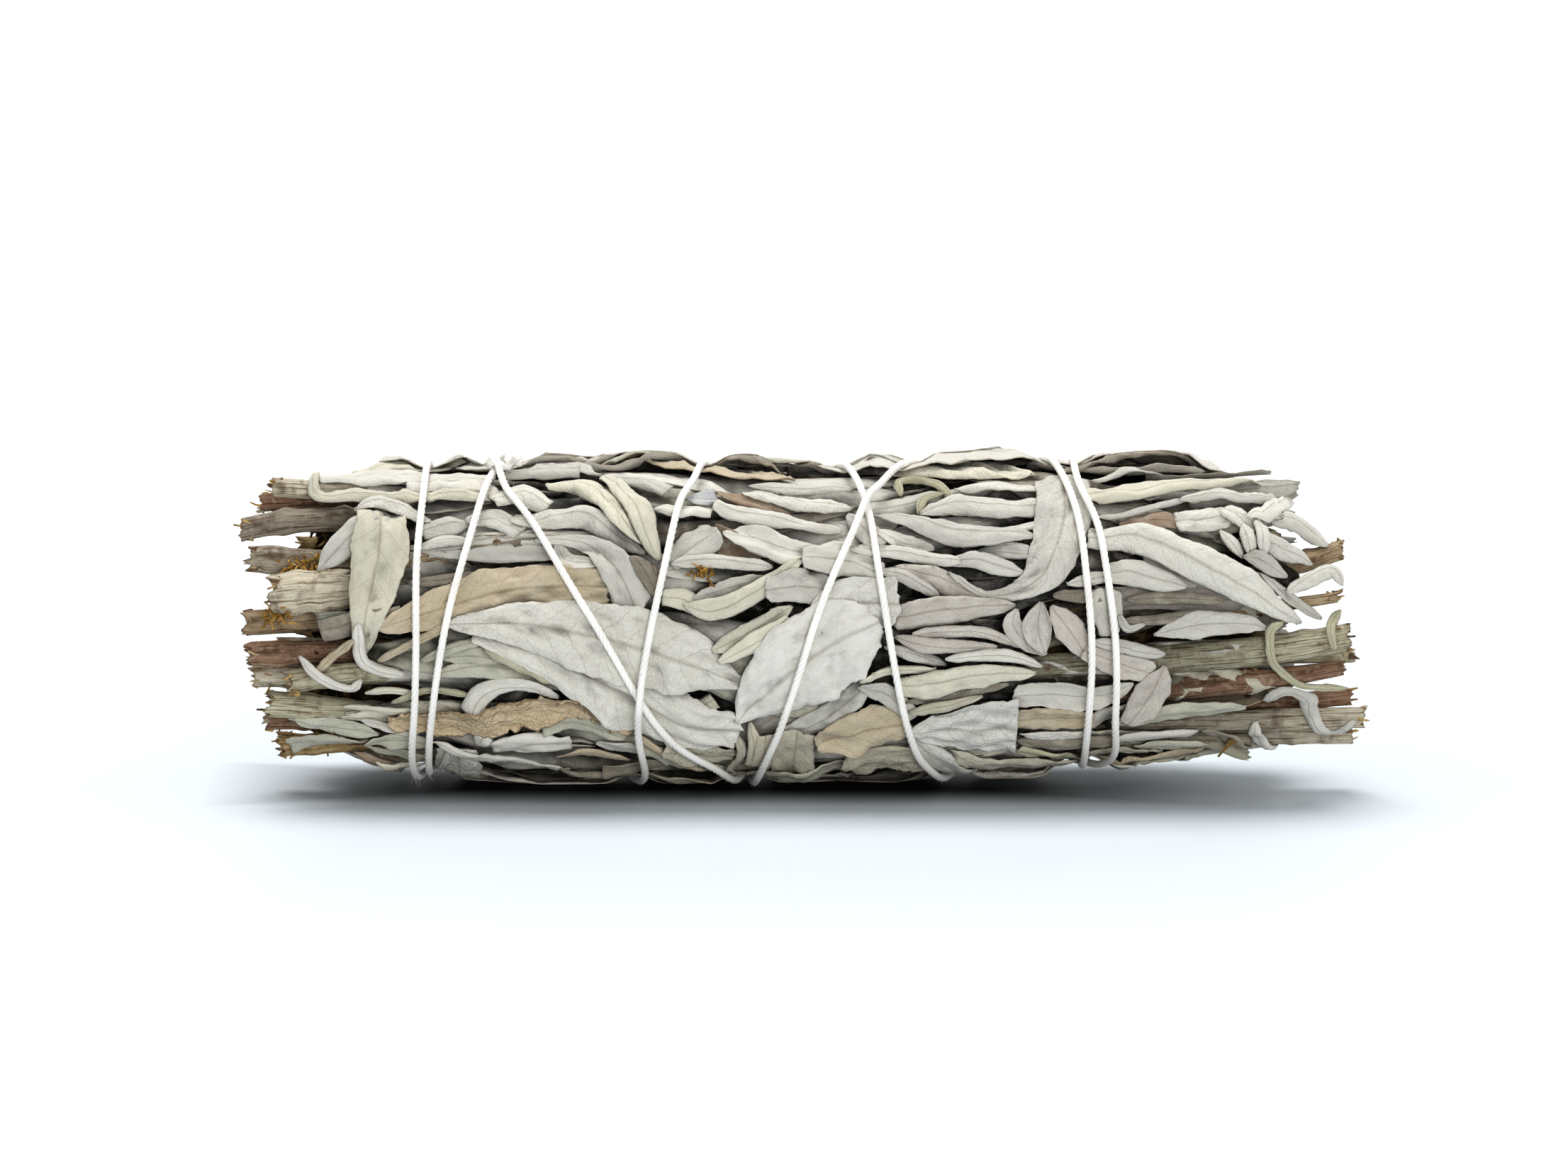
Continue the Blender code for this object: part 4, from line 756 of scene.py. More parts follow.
# The leaves that show from the front, lowest layer first: form, tint, widths and places (x, height seen).
FRONT_LEAVES = (
    # left end, upper part
    ("flat", "pale", (4.0, 6.0, 5.0), ((-57, 17.6), (-48, 18.8), (-36, 18.8))),
    ("flat", "pale", (3.0, 4.0, 3.5), ((-46, 17.4), (-41, 17.6), (-35.5, 17.6))),
    ("roll", "cream", (0.9, 1.4, 2.0, 1.8), ((-56.6, 18.4), (-56.4, 16.8), (-50, 16.9), (-37, 16.9))),
    ("roll", "grey", (1.2, 3.0, 3.6, 3.0), ((-56, 8.8), (-54, 10.6), (-51.5, 12.8), (-49, 14))),
    ("roll", "dark", (2.6, 3.2, 2.4), ((-55.6, 1.3), (-52, 2.2), (-46, 3.6))),
    ("roll", "grey", (2.0, 2.8, 1.6), ((-44, 13.2), (-41, 13.8), (-38.6, 14.4))),
    ("roll", "grey", (1.4, 1.8, 1.2), ((-45, 11.4), (-41, 12.1), (-38, 12.4))),
    ("flat", "grey", (1.6, 3.2, 2.6), ((-39, 14.4), (-36, 14.8), (-32.5, 13.2))),
    ("roll", "dark", (1.0, 1.4, 0.8), ((-45.5, 7.4), (-41, 7.9), (-38, 8.8))),
    ("flat", "tan", (1.6, 5.2, 6.4, 6.0, 4.6),
     ((-49, 1.8), (-42, 4.2), (-35, 6.3), (-28, 7.0), (-22.3, 7.0))),
    ("cup", "cream", (5.0, 6.4, 6.2, 4.6, 2.6, 1.2),
     ((-48.8, 15.6), (-48.6, 12.5), (-49.0, 9.0), (-49.8, 5.0), (-50.5, 1.0), (-50.8, -1.6))),
    ("ribbon", "pale", (1.5, 1.6, 1.5), ((-51.2, 2.5), (-51.0, -1.8), (-49.4, -3.2), (-45.8, -4.2))),
    ("roll", "pale", (1.2, 2.4, 2.2, 1.2), ((-52, 15.7), (-49, 16.0), (-46, 15.3), (-43, 14.2))),
    # upper left, between the first strings and the middle
    ("roll", "grey", (1.4, 2.4, 2.0), ((-35.5, 19.0), (-31, 19.3), (-26, 19.4))),
    ("roll", "pale", (2.0, 3.4, 2.4), ((-36, 16.4), (-33, 17.2), (-29.4, 16.0))),
    ("roll", "pale", (1.4, 2.6, 3.0, 2.4, 1.2),
     ((-34, 14.4), (-29, 14.4), (-25, 14.6), (-21.5, 12.6), (-18.3, 11.0))),
    ("roll", "cream", (2.4, 3.6, 3.2, 2.6, 1.2),
     ((-29.8, 17.9), (-25.8, 17.9), (-23, 16.2), (-21, 13.9), (-18.6, 11.8))),
    ("roll", "grey", (1.6, 2.6, 2.2), ((-23, 18.9), (-18.5, 18.4), (-15.6, 17.6))),
    ("roll", "pale", (1.6, 2.6, 1.8), ((-17.6, 15.8), (-14, 15.6), (-10.6, 15.2))),
    ("roll", "cream", (1.2, 2.8, 3.4, 2.6, 1.4),
     ((-23.6, 19.1), (-21, 17.0), (-19, 14.9), (-18, 12.6), (-16.7, 10.2))),
    ("cup", "grey", (1.2, 1.8, 1.4), ((-28.6, 12.2), (-27.2, 10.0), (-23.4, 9.6))),
    ("flat", "grey", (1.0, 2.0, 3.4, 4.4, 4.6),
     ((-31, 12.2), (-26, 12.2), (-23, 10.6), (-20.9, 8.0), (-19.4, 4.4))),
    ("roll", "dark", (1.4, 2.4, 1.4), ((-20, 10.0), (-18.2, 8.6), (-16.6, 5.4))),
    ("flat", "blue", (1.4, 3.4, 2.4), ((-13.6, 17.2), (-11.6, 16.8), (-9.9, 16.9))),
    # upper middle
    ("flat", "brown", (1.2, 2.2, 1.4), ((-10.2, 17.3), (-6, 16.6), (-1.4, 15.2))),
    ("roll", "pale", (1.2, 2.4, 1.6), ((-7.2, 17.3), (-0.5, 16.2), (5.6, 16.0))),
    ("roll", "grey", (1.0, 2.0, 1.4), ((-6.4, 18.2), (-1.5, 17.6), (5.8, 18.0))),
    ("roll", "pale", (2.2, 2.8, 1.9, 1.2), ((-10.2, 15.8), (-6, 14.8), (-1, 14.2), (4.4, 13.5))),
    ("cup", "brown", (2.4, 3.4, 1.6), ((-11.2, 13.4), (-8.6, 12.0), (-5.0, 10.3))),
    ("flat", "pale", (1.6, 4.2, 4.4, 2.2), ((-9.4, 13.0), (-5, 12.2), (-1.4, 11.0), (1.6, 11.2))),
    ("flat", "grey", (2.2, 4.6, 4.0), ((-15.4, 9.7), (-12.8, 11.6), (-10.0, 13.2))),
    ("roll", "pale", (1.2, 1.9, 1.2), ((-15.4, 9.6), (-9.5, 9.9), (-3.6, 9.2))),
    ("flat", "cream", (2.0, 3.0, 2.0), ((-16.3, 5.8), (-14, 5.6), (-11.6, 4.2))),
    ("cup", "grey", (1.0, 2.0, 1.0), ((-12.8, 5.6), (-8.4, 7.0), (-4.4, 8.2))),
    ("roll", "cream", (1.2, 2.6, 2.8, 2.2, 1.2),
     ((-13.9, 4.8), (-11, 4.2), (-8, 5.0), (-4, 7.3), (-0.2, 9.8))),
    ("flat", "grey", (3.0, 4.4, 3.2), ((-4.4, 6.4), (0.4, 7.0), (5.4, 6.0))),
    ("flat", "pale", (2.4, 4.8, 2.6), ((-0.2, 9.9), (4.2, 10.2), (9.0, 8.5))),
    # upper right of the middle
    ("roll", "grey", (1.6, 3.2, 2.6), ((5.0, 15.2), (7.4, 13.2), (8.6, 11.4))),
    ("ribbon", "olive", (1.0, 1.2, 1.2, 1.0), ((11.2, 17.4), (11.2, 18.6), (15.0, 18.5), (17.4, 16.8))),
    ("ribbon", "olive", (1.0, 1.3, 1.0), ((13.2, 15.4), (14.0, 16.9), (16.2, 17.3))),
    ("cup", "pale", (1.6, 2.2, 1.2), ((8.4, 13.2), (11.5, 12.2), (15.0, 11.6))),
    ("roll", "grey", (1.6, 2.2, 1.6), ((19.6, 11.1), (23, 11.2), (27, 10.9))),
    ("roll", "pale", (1.2, 2.2, 1.4), ((17.4, 17.8), (22, 18.1), (27.5, 17.8))),
    ("roll", "pale", (1.2, 2.8, 3.0, 2.4), ((13.4, 15.3), (18, 16.1), (23, 15.8), (28, 15.8))),
    ("roll", "pale", (1.0, 1.4, 1.2), ((21.6, 13.4), (24.4, 13.7), (28, 14.4))),
    ("roll", "grey", (1.2, 2.2, 3.4, 3.2, 1.4),
     ((7.8, 15.3), (12, 14.4), (16, 13.3), (21, 12.6), (26.6, 12.9))),
    ("roll", "grey", (1.2, 2.0, 2.2, 1.2), ((16.0, 9.9), (19.6, 10.0), (22.6, 9.2), (25.4, 8.6))),
    ("roll", "pale", (1.2, 1.8, 1.6), ((5.2, 11.2), (11, 10.8), (18, 9.7))),
    ("roll", "pink", (1.4, 2.8, 2.8, 1.2), ((9.8, 9.1), (14, 8.2), (17.4, 6.8), (20.6, 5.4))),
    ("roll", "grey", (1.0, 1.7, 1.2), ((8.4, 9.0), (11.6, 7.9), (15.6, 5.7))),
    ("flat", "grey", (6.4, 6.4, 5.8, 4.4, 2.0, 1.0, 0.6),
     ((30.0, 19.0), (29.9, 15.0), (28.8, 11.0), (27.0, 8.0), (23.8, 6.3), (20.5, 6.2), (16.6, 8.5))),
    # right of the middle, at the level of the axis
    ("roll", "dark", (1.4, 2.0, 1.4), ((28.6, 5.9), (33, 5.8), (36.6, 6.2))),
    ("roll", "pink", (3.0, 3.6, 2.6, 1.2), ((10.4, 3.2), (15, 3.9), (20, 4.4), (24.3, 4.7))),
    ("roll", "grey", (1.0, 1.7, 1.0), ((9.2, -0.4), (12.5, -1.2), (16.4, -2.7))),
    ("roll", "pink", (1.2, 1.6, 1.4, 0.8), ((12.4, 1.3), (17, 1.6), (21, 1.3), (25.6, -0.7))),
    ("roll", "pink", (1.0, 2.0, 1.9, 0.9), ((10.4, 0.9), (14, 0.0), (18, -0.3), (22.2, -0.4))),
    ("roll", "pale", (1.0, 1.6, 1.5, 0.9), ((16.2, -1.8), (21, -1.3), (24.4, -1.7), (27.4, -3.1))),
    ("cup", "grey", (1.6, 2.2, 1.6, 0.9), ((24.4, 4.3), (23.9, 2.4), (25.4, 0.2), (27.9, -1.5))),
    ("cup", "grey", (1.4, 3.4, 1.6), ((27.2, 5.2), (26.7, 2.0), (27.7, -1.3))),
    ("flat", "pink", (1.6, 3.8, 1.6), ((28.4, 4.6), (30.6, 1.6), (32.8, -2.3))),
    ("flat", "grey", (3.6, 3.8, 2.4), ((34.5, 6.6), (34.9, 3.6), (35.2, 0.8))),
    ("roll", "dark", (1.2, 1.6, 1.2), ((37.2, 5.3), (42, 5.5), (48.4, 5.0))),
    ("roll", "dark", (1.0, 1.4, 1.0), ((36.6, 2.7), (41, 2.8), (46.4, 3.7))),
    ("ribbon", "grey", (1.2, 1.1, 0.9), ((36.2, 3.4), (37.2, 1.7), (39.2, 2.3))),
    ("roll", "grey", (1.0, 1.8, 1.4), ((30.2, 7.1), (33, 7.8), (36, 8.2))),
    ("roll", "grey", (2.4, 3.6, 2.6, 1.4), ((34.6, 8.5), (38, 8.4), (41.4, 7.4), (44.0, 6.7))),
    ("flat", "grey", (1.0, 3.6, 3.0, 1.4), ((40.2, 0.8), (45, 2.0), (49, 2.1), (53.4, 1.3))),
    # upper right end
    ("flat", "brown", (1.6, 2.6, 2.0), ((36.4, 14.2), (40.6, 14.7), (44.0, 14.4))),
    ("roll", "grey", (0.8, 1.2, 1.0), ((33.8, 14.9), (39, 15.6), (44.5, 17.0))),
    ("roll", "grey", (1.0, 1.8, 1.6, 1.2), ((43.4, 16.6), (48, 17.2), (52, 16.9), (56.4, 16.6))),
    ("roll", "grey", (1.0, 1.8, 0.8), ((33.4, 18.6), (37.5, 19.2), (41.8, 19.5))),
    ("roll", "cream", (2.6, 3.4, 2.8, 2.4, 1.2),
     ((32.4, 17.1), (38, 17.4), (43, 18.2), (49, 18.5), (54.8, 18.0))),
    ("roll", "grey", (2.0, 3.4, 2.6, 1.2), ((54.0, 14.6), (57, 13.6), (59, 12.2), (60.6, 10.8))),
    ("roll", "grey", (2.6, 3.8, 3.0, 1.4), ((51.6, 12.6), (54.5, 11.4), (57, 10.2), (58.8, 9.2))),
    ("flat", "pale", (3.0, 3.8, 3.0), ((42.8, 14.4), (46, 14.7), (49.2, 15.0))),
    ("flat", "pale", (2.6, 2.8, 1.4), ((48.6, 15.6), (50.4, 14.8), (52.0, 13.0))),
    ("roll", "pale", (1.0, 1.6, 1.2), ((48.0, 13.4), (49.2, 12.0), (50.6, 10.2))),
    ("roll", "pale", (1.4, 1.9, 1.4), ((50.6, 13.8), (51.2, 12.2), (51.6, 10.2))),
    ("roll", "pale", (1.4, 1.8, 1.4), ((52.2, 14.8), (52.9, 12.4), (52.9, 10.0))),
    ("roll", "pale", (1.6, 2.2, 1.2), ((51.2, 14.2), (54, 15.0), (56.9, 16.4))),
    ("flat", "grey", (1.4, 2.6, 1.6), ((50.6, 10.2), (53.4, 9.2), (55.8, 7.8))),
    ("roll", "pale", (2.6, 3.6, 4.2, 4.2, 3.6, 1.2),
     ((32.6, 12.5), (38, 12.3), (43, 10.4), (48, 8.0), (53, 5.0), (57.4, 2.0))),
    ("cup", "grey", (0.9, 1.5, 0.8), ((52.6, 8.0), (56, 5.2), (59.8, 2.5))),
    ("ribbon", "pale", (1.0, 1.8, 1.9, 1.4), ((55.6, 5.8), (58, 7.0), (61, 8.2), (62.2, 6.6))),
    # left end, lower part
    ("flat", "green", (1.6, 3.2, 3.4, 1.6), ((-59.6, -10.0), (-56, -10.8), (-52.6, -11.8), (-49.2, -12.6))),
    ("flat", "green", (3.2, 2.8, 1.2), ((-60.0, -14.2), (-55.5, -13.9), (-50.4, -13.7))),
    ("roll", "brown", (1.2, 2.4, 1.6), ((-52.2, -15.6), (-50, -16.6), (-47.6, -17.2))),
    ("flat", "green", (1.4, 2.6, 2.0), ((-50.9, -13.7), (-47.5, -13.2), (-43.4, -13.6))),
    ("flat", "green", (1.2, 2.4, 2.0), ((-50.9, -14.0), (-48, -15.2), (-44.2, -16.4))),
    ("roll", "cream", (1.0, 1.8, 1.4), ((-49.8, -16.2), (-47, -17.2), (-43.8, -17.0))),
    ("cup", "grey", (0.8, 1.2, 1.0), ((-51.2, -10.4), (-48, -11.5), (-44.4, -12.0))),
    ("ribbon", "tan", (1.0, 1.1, 1.0), ((-56.2, -3.6), (-53.6, -1.4), (-51.8, 0.6))),
    ("ribbon", "pale", (1.0, 1.2, 1.2, 1.1), ((-58.2, -2.0), (-56.4, -3.6), (-52.4, -5.8), (-50.9, -4.6))),
    ("ribbon", "cream", (1.0, 1.1, 0.9), ((-50.6, -6.8), (-47.8, -6.2), (-44.4, -6.8))),
    ("ribbon", "olive", (0.9, 1.0, 1.1), ((-47.6, -8.0), (-43.6, -6.1), (-38.2, -6.8))),
    ("ribbon", "cream", (0.9, 1.1, 1.0), ((-53.2, -8.6), (-49, -8.7), (-44.6, -8.9))),
    ("flat", "pale", (4.6, 5.4, 5.4), ((-40.2, -14.2), (-40.2, -17.0), (-40.2, -19.4))),
    ("ribbon", "grey", (0.7, 0.8, 0.8), ((-41.2, -14.4), (-42.0, -16.8), (-43.4, -18.8))),
    ("roll", "green", (1.2, 2.6, 2.4, 1.4), ((-42.6, -4.0), (-37.5, -3.0), (-32, -3.8), (-25.6, -6.2))),
    ("flat", "green", (1.4, 2.2, 1.4), ((-41.8, -1.8), (-38, -1.3), (-34.4, -1.9))),
    ("roll", "olive", (1.4, 3.0, 3.0, 1.4), ((-36.8, -0.4), (-32.6, -1.7), (-29.4, -3.2), (-25.6, -5.6))),
    ("roll", "green", (1.0, 1.5, 1.2), ((-44.2, -2.4), (-40.4, -0.5), (-36.7, 0.6))),
    ("ribbon", "tan", (0.9, 1.1, 1.0), ((-49.0, -2.2), (-44.6, 0.2), (-40.6, 2.4))),
    ("roll", "pale", (2.8, 2.6, 2.0, 1.6, 1.2),
     ((-38.4, -8.8), (-37.4, -6.6), (-35, -5.1), (-31.6, -5.0), (-28.2, -6.6))),
    ("flat", "pale", (3.0, 4.2, 4.2, 2.6), ((-36.2, -14.0), (-33, -13.5), (-30, -13.4), (-26.8, -13.4))),
    ("roll", "pale", (1.0, 1.6, 1.6, 1.0), ((-43.0, -13.2), (-38, -15.0), (-33, -16.3), (-27.2, -17.8))),
    ("flat", "pale", (1.6, 2.4, 1.2), ((-37.8, -13.8), (-37.0, -12.2), (-36.0, -10.6))),
    # lower middle
    ("roll", "dark", (1.6, 2.6, 2.2), ((-28.4, -17.2), (-24, -17.7), (-19.8, -18.0))),
    ("flat", "tan", (1.0, 1.8, 1.4), ((-28.6, -15.6), (-25, -15.0), (-20.2, -16.3))),
    ("flat", "dark", (1.8, 2.6, 2.4), ((-23.4, -16.9), (-20, -17.0), (-16.6, -17.0))),
    ("flat", "green", (1.8, 3.0, 1.6), ((-30.2, -11.2), (-26, -10.4), (-20.6, -12.8))),
    ("flat", "grey", (1.4, 2.4, 1.8), ((-24, -13.4), (-21.5, -14.0), (-18.6, -14.8))),
    ("flat", "green", (1.6, 3.2, 3.4, 2.2),
     ((-19.2, -13.6), (-15.6, -15.6), (-12.4, -17.2), (-8.4, -18.4))),
    ("ribbon", "tan", (0.9, 1.1, 0.9), ((-19.4, -12.2), (-15.6, -15.0), (-11.4, -17.4))),
    ("flat", "beige", (2.6, 4.4, 3.6), ((-16.2, -13.8), (-11.8, -15.0), (-7.8, -15.2))),
    ("roll", "beige", (0.9, 1.2, 1.0), ((-7.9, -11.8), (-7.2, -14.6), (-9.0, -17.8))),
    ("roll", "beige", (1.2, 1.6, 1.0), ((-6.2, -10.4), (-5.7, -13.4), (-6.6, -16.8))),
    ("flat", "beige", (1.8, 2.6, 2.2), ((-4.4, -11.8), (-4.6, -14.6), (-5.2, -17.2))),
    ("roll", "beige", (1.6, 2.4, 2.0), ((-14.8, -7.6), (-12.4, -8.4), (-10.2, -7.2))),
    ("flat", "grey", (2.2, 3.4, 3.2, 1.8), ((-3.2, -12.6), (1.0, -10.7), (5.2, -7.4), (7.4, -4.8))),
    ("flat", "beige", (4.2, 5.0, 5.0), ((-0.8, -11.2), (-1.2, -15.0), (-1.4, -18.6))),
    ("flat", "green", (2.0, 4.0, 4.2, 3.0), ((-6.4, -19.0), (-2, -18.2), (2.4, -17.4), (7.2, -17.4))),
    ("flat", "beige", (4.0, 6.0, 5.6, 3.4), ((5.0, -17.2), (9.0, -15.8), (13.4, -16.2), (17.6, -18.0))),
    ("flat", "tan", (3.8, 6.2, 6.4, 4.6), ((1.6, -12.8), (5.2, -11.6), (8.6, -10.8), (12.2, -10.6))),
    ("cup", "dry", (2.0, 4.4, 4.6, 4.2, 2.4, 0.9),
     ((-48, -10.2), (-42, -10.6), (-36, -9.9), (-30, -8.6), (-25, -8.4), (-19.8, -12.0))),
    ("flat", "pale", (2.0, 3.8, 6.4, 8.4, 8.0, 5.4),
     ((-38, 1.4), (-31, -0.9), (-25, -3.8), (-18.6, -7.8), (-13, -10.6), (-7.4, -11.4))),
    ("flat", "pale", (1.4, 5.0, 8.2, 10.2, 8.0, 0.6),
     ((-41, 2.4), (-33, 2.6), (-26, 1.4), (-18.6, -0.6), (-13, -2.4), (-6.6, -5.6))),
    ("flat", "cream", (1.6, 2.8, 1.6), ((-10.6, -0.8), (-6.6, 1.2), (-1.4, 4.6))),
    ("flat", "cream", (1.2, 2.6, 2.2), ((-9.9, -2.2), (-6, 0.0), (-1.4, 2.8))),
    ("flat", "smooth", (4.6, 6.4, 6.0), ((1.2, 3.0), (5.6, 5.0), (10.9, 5.0))),
    ("flat", "smooth", (1.5, 9.0, 11.6, 10.6, 5.6),
     ((-7.8, -9.8), (-3.6, -5.8), (0.6, -2.0), (4.6, 0.8), (8.6, 2.6))),
    # lower right
    ("roll", "cream", (0.8, 1.4, 1.0), ((6.4, -4.4), (10, -3.4), (15.2, -3.0))),
    ("flat", "grey", (1.6, 2.8, 1.8), ((6.2, -5.2), (9.6, -6.6), (12.8, -9.4))),
    ("roll", "dark", (0.9, 1.5, 1.1), ((11.6, -7.4), (17, -6.7), (23.6, -5.3))),
    ("roll", "beige", (1.2, 1.8, 1.0), ((12, -8.6), (16, -8.0), (20.6, -6.7))),
    ("roll", "cream", (2.6, 3.8, 3.2, 1.4), ((10.6, -5.6), (15, -4.9), (20.4, -3.9), (26.7, -3.8))),
    ("cup", "grey", (3.0, 3.6, 3.4, 1.2), ((24.2, -6.8), (29, -6.8), (33.6, -7.2), (38, -5.6))),
    ("roll", "dark", (1.6, 2.4, 1.8), ((24.6, -13.2), (29, -13.6), (36.2, -13.6))),
    ("flat", "tan", (3.2, 3.8, 3.2), ((24.2, -10.3), (28.4, -10.0), (33.6, -10.4))),
    ("roll", "pale", (1.0, 1.5, 1.0), ((24.8, -12.2), (29, -12.1), (33.4, -12.4))),
    ("flat", "olive", (2.6, 3.4, 2.0), ((24.4, -14.4), (28.6, -15.2), (32.6, -17.2))),
    ("flat", "cream", (1.6, 3.6, 3.8, 2.2), ((17.0, -14.8), (21.6, -17.2), (27, -17.3), (32, -17.0))),
    ("flat", "smooth", (1.6, 3.6, 3.0), ((12.4, -12.8), (15.6, -15.6), (19.2, -18.6))),
    ("cut", "smooth", (0.8, 5.2, 7.6, 9.0, 10.0),
     ((11.7, -11.7), (15, -11.6), (18, -11.5), (21, -11.4), (24.6, -11.2))),
    # lower right end
    ("flat", "green", (2.2, 3.4, 3.2, 1.4), ((35.6, -11.2), (41, -10.0), (46, -9.5), (51.2, -9.4))),
    ("roll", "grey", (1.2, 2.2, 1.4), ((35.8, -13.0), (41, -13.0), (45.8, -12.9))),
    ("flat", "green", (1.6, 2.8, 1.4), ((38.4, -15.2), (43, -14.9), (47.4, -14.6))),
    ("flat", "beige", (1.8, 2.4, 1.0), ((33.2, -16.2), (37.6, -15.8), (41.9, -16.4))),
    ("flat", "dark", (0.9, 2.2, 1.9, 0.7), ((46.2, -12.8), (49.4, -13.8), (52, -14.8), (54.6, -15.8))),
    ("roll", "grey", (1.6, 1.8, 1.2), ((52.4, -11.4), (52.8, -13.4), (55.4, -14.4))),
    ("flat", "pink", (2.2, 4.0, 3.0), ((32.2, -0.9), (36, -2.6), (40.2, -4.2))),
    ("roll", "grey", (1.2, 1.8, 1.2), ((32.8, 0.2), (37, -0.6), (41.6, -1.8))),
    ("flat", "pink", (1.6, 4.2, 4.2, 2.4), ((41.6, -3.2), (40.4, -6.0), (39.0, -8.6), (37.4, -10.8))),
    ("ribbon", "olive", (1.0, 1.1, 1.1, 1.1, 1.0),
     ((55.2, 2.2), (53.7, 0.8), (54.2, -3.0), (57.6, -6.2), (63.0, -7.0))),
    ("ribbon", "olive", (1.0, 1.1, 1.0), ((62.0, 3.6), (60.7, 1.4), (61.2, -1.2))),
    ("ribbon", "grey", (1.4, 1.3, 2.2, 2.0, 1.1, 1.0),
     ((53.2, -8.6), (55.8, -6.8), (58.2, -8.0), (58.8, -10.2), (61.2, -12.2), (64.0, -10.8))),
)


def vein_net():
    """The veins of a dried sage leaf: a net of fine cells about half a millimetre wide, the coarser net
    that holds them, and the side veins that leave the midrib in pairs and sweep forward to the margins."""
    inputs = (("Vector", "Vector"), ("Outward", "Float"), ("Cells", "Float"))
    group, given, made = shared_effect("vein_net", inputs, ("Fine", "Coarse", "Side", "Swelling"))
    shift = add(group, "TexNoise", Vector=given["Vector"], Scale=0.7, Detail=3.0).outputs["Color"]
    place = add(group, "VectorMath", {"operation": "MULTIPLY_ADD"}, i0=shift, i1=(0.9, 0.9, 0.0),
                i2=given["Vector"]).outputs[0]
    look = {"feature": "DISTANCE_TO_EDGE", "voronoi_dimensions": "2D"}
    fine = add(group, "TexVoronoi", look, Vector=place, Scale=given["Cells"]).outputs["Distance"]
    wide_scale = combined(group, "MULTIPLY", given["Cells"], 0.33)
    wide = add(group, "TexVoronoi", look, Vector=place, Scale=wide_scale).outputs["Distance"]
    along = add(group, "SeparateXYZ", Vector=place).outputs[0]
    outward = combined(group, "MULTIPLY", given["Outward"], -1.15)
    swept = combined(group, "ADD", combined(group, "MULTIPLY", along, 0.30), outward)
    swept = combined(group, "PINGPONG", swept, 0.5)
    group.links.new(stepped(group, fine, 0.0, 0.13, 1.0, 0.0), made["Fine"])
    group.links.new(stepped(group, wide, 0.0, 0.05, 1.0, 0.0), made["Coarse"])
    group.links.new(stepped(group, swept, 0.0, 0.035, 1.0, 0.0), made["Side"])
    swelling = stepped(group, fine, 0.0, 0.35)
    for lines, width in ((wide, 0.16), (swept, 0.12)):
        swelling = combined(group, "ADD", swelling, stepped(group, lines, 0.0, width, 0.0, 0.8))
    group.links.new(swelling, made["Swelling"])
    return group


def leaf_material():
    """A felted leaf: smooth and dull, its veins fine and shallow, painted shade in the groove along the
    midrib, the lower side darker, the margins a little worn. How much of the veins shows differs from leaf to
    leaf."""
    material, tree, shader = new_material("felted_leaf", 0.9, 0.15, 0.2)
    uv = add(tree, "UVMap").outputs[0]
    tone, lower, outward, drawn = point_state(tree)
    net = add(tree, "Group", {"node_tree": veins}, Vector=uv, Outward=outward, Cells=2.1).outputs
    streak, blotch = add(tree, "Group", {"node_tree": streaks}, Vector=uv, Along=0.35, Across=0.9).outputs
    shows = stepped(tree, drawn, 0.1, 1.0, 0.25, 1.0)
    colour = tinted(tree, stepped(tree, streak, 0.30, 0.60, 0.35, 0.0), tone, (0.66, 0.63, 0.58), "MULTIPLY")
    colour = tinted(tree, stepped(tree, blotch, 0.48, 0.70, 0.0, 0.30), colour, srgb(222, 219, 206))
    for vein, strength in ((net["Fine"], 0.13), (net["Coarse"], 0.13), (net["Side"], 0.34)):
        factor = combined(tree, "MULTIPLY", combined(tree, "MULTIPLY", vein, strength), shows)
        colour = tinted(tree, factor, colour, (0.34, 0.31, 0.27), "MULTIPLY")
    # Painted shade: the groove along the midrib is darker.
    groove = stepped(tree, outward, 0.0, 0.09, 0.45, 0.0)
    colour = tinted(tree, groove, colour, (0.45, 0.41, 0.34), "MULTIPLY")
    colour = tinted(tree, stepped(tree, outward, 0.97, 1.0, 0.0, 0.30), colour, srgb(168, 148, 118))
    colour = tinted(tree, combined(tree, "MULTIPLY", lower, 0.5), colour, (0.74, 0.71, 0.65), "MULTIPLY")
    speck = noise(tree, uv, 7.0, 3.0, 0.7)
    colour = tinted(tree, stepped(tree, speck, 0.30, 0.50, 0.22, 0.0), colour, (0.62, 0.60, 0.56), "MULTIPLY")
    relief = combined(tree, "MULTIPLY", net["Swelling"], stepped(tree, drawn, 0.0, 1.0, 0.25, 0.6))
    relief = combined(tree, "ADD", relief, combined(tree, "MULTIPLY", speck, 0.8))
    relief = combined(tree, "ADD", relief, stepped(tree, outward, 0.0, 0.07, -0.7, 0.0))
    finish_material(tree, shader, colour, relief, 0.7, 0.00012)
    return material


veins = vein_net()
felted_leaf = leaf_material()
MOST_QUADS = 92000


def leaf_pieces(name, parts):
    """Makes meshes of the leaves, a new one wherever a mesh would grow too large."""
    groups, faces = [[]], 0
    for part in parts:
        if faces + len(part[1]) > MOST_QUADS:
            groups.append([])
            faces = 0
        groups[-1].append(part)
        faces += len(part[1])
    for number, group in enumerate(groups, 1):
        points, quads, uvs, colours = joined(group)
        piece = make_piece(f"{name}_{number}", on_floor(points), quads, felted_leaf, uvs, colours)
        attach(piece, "root")
        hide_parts("leaf_bundle")


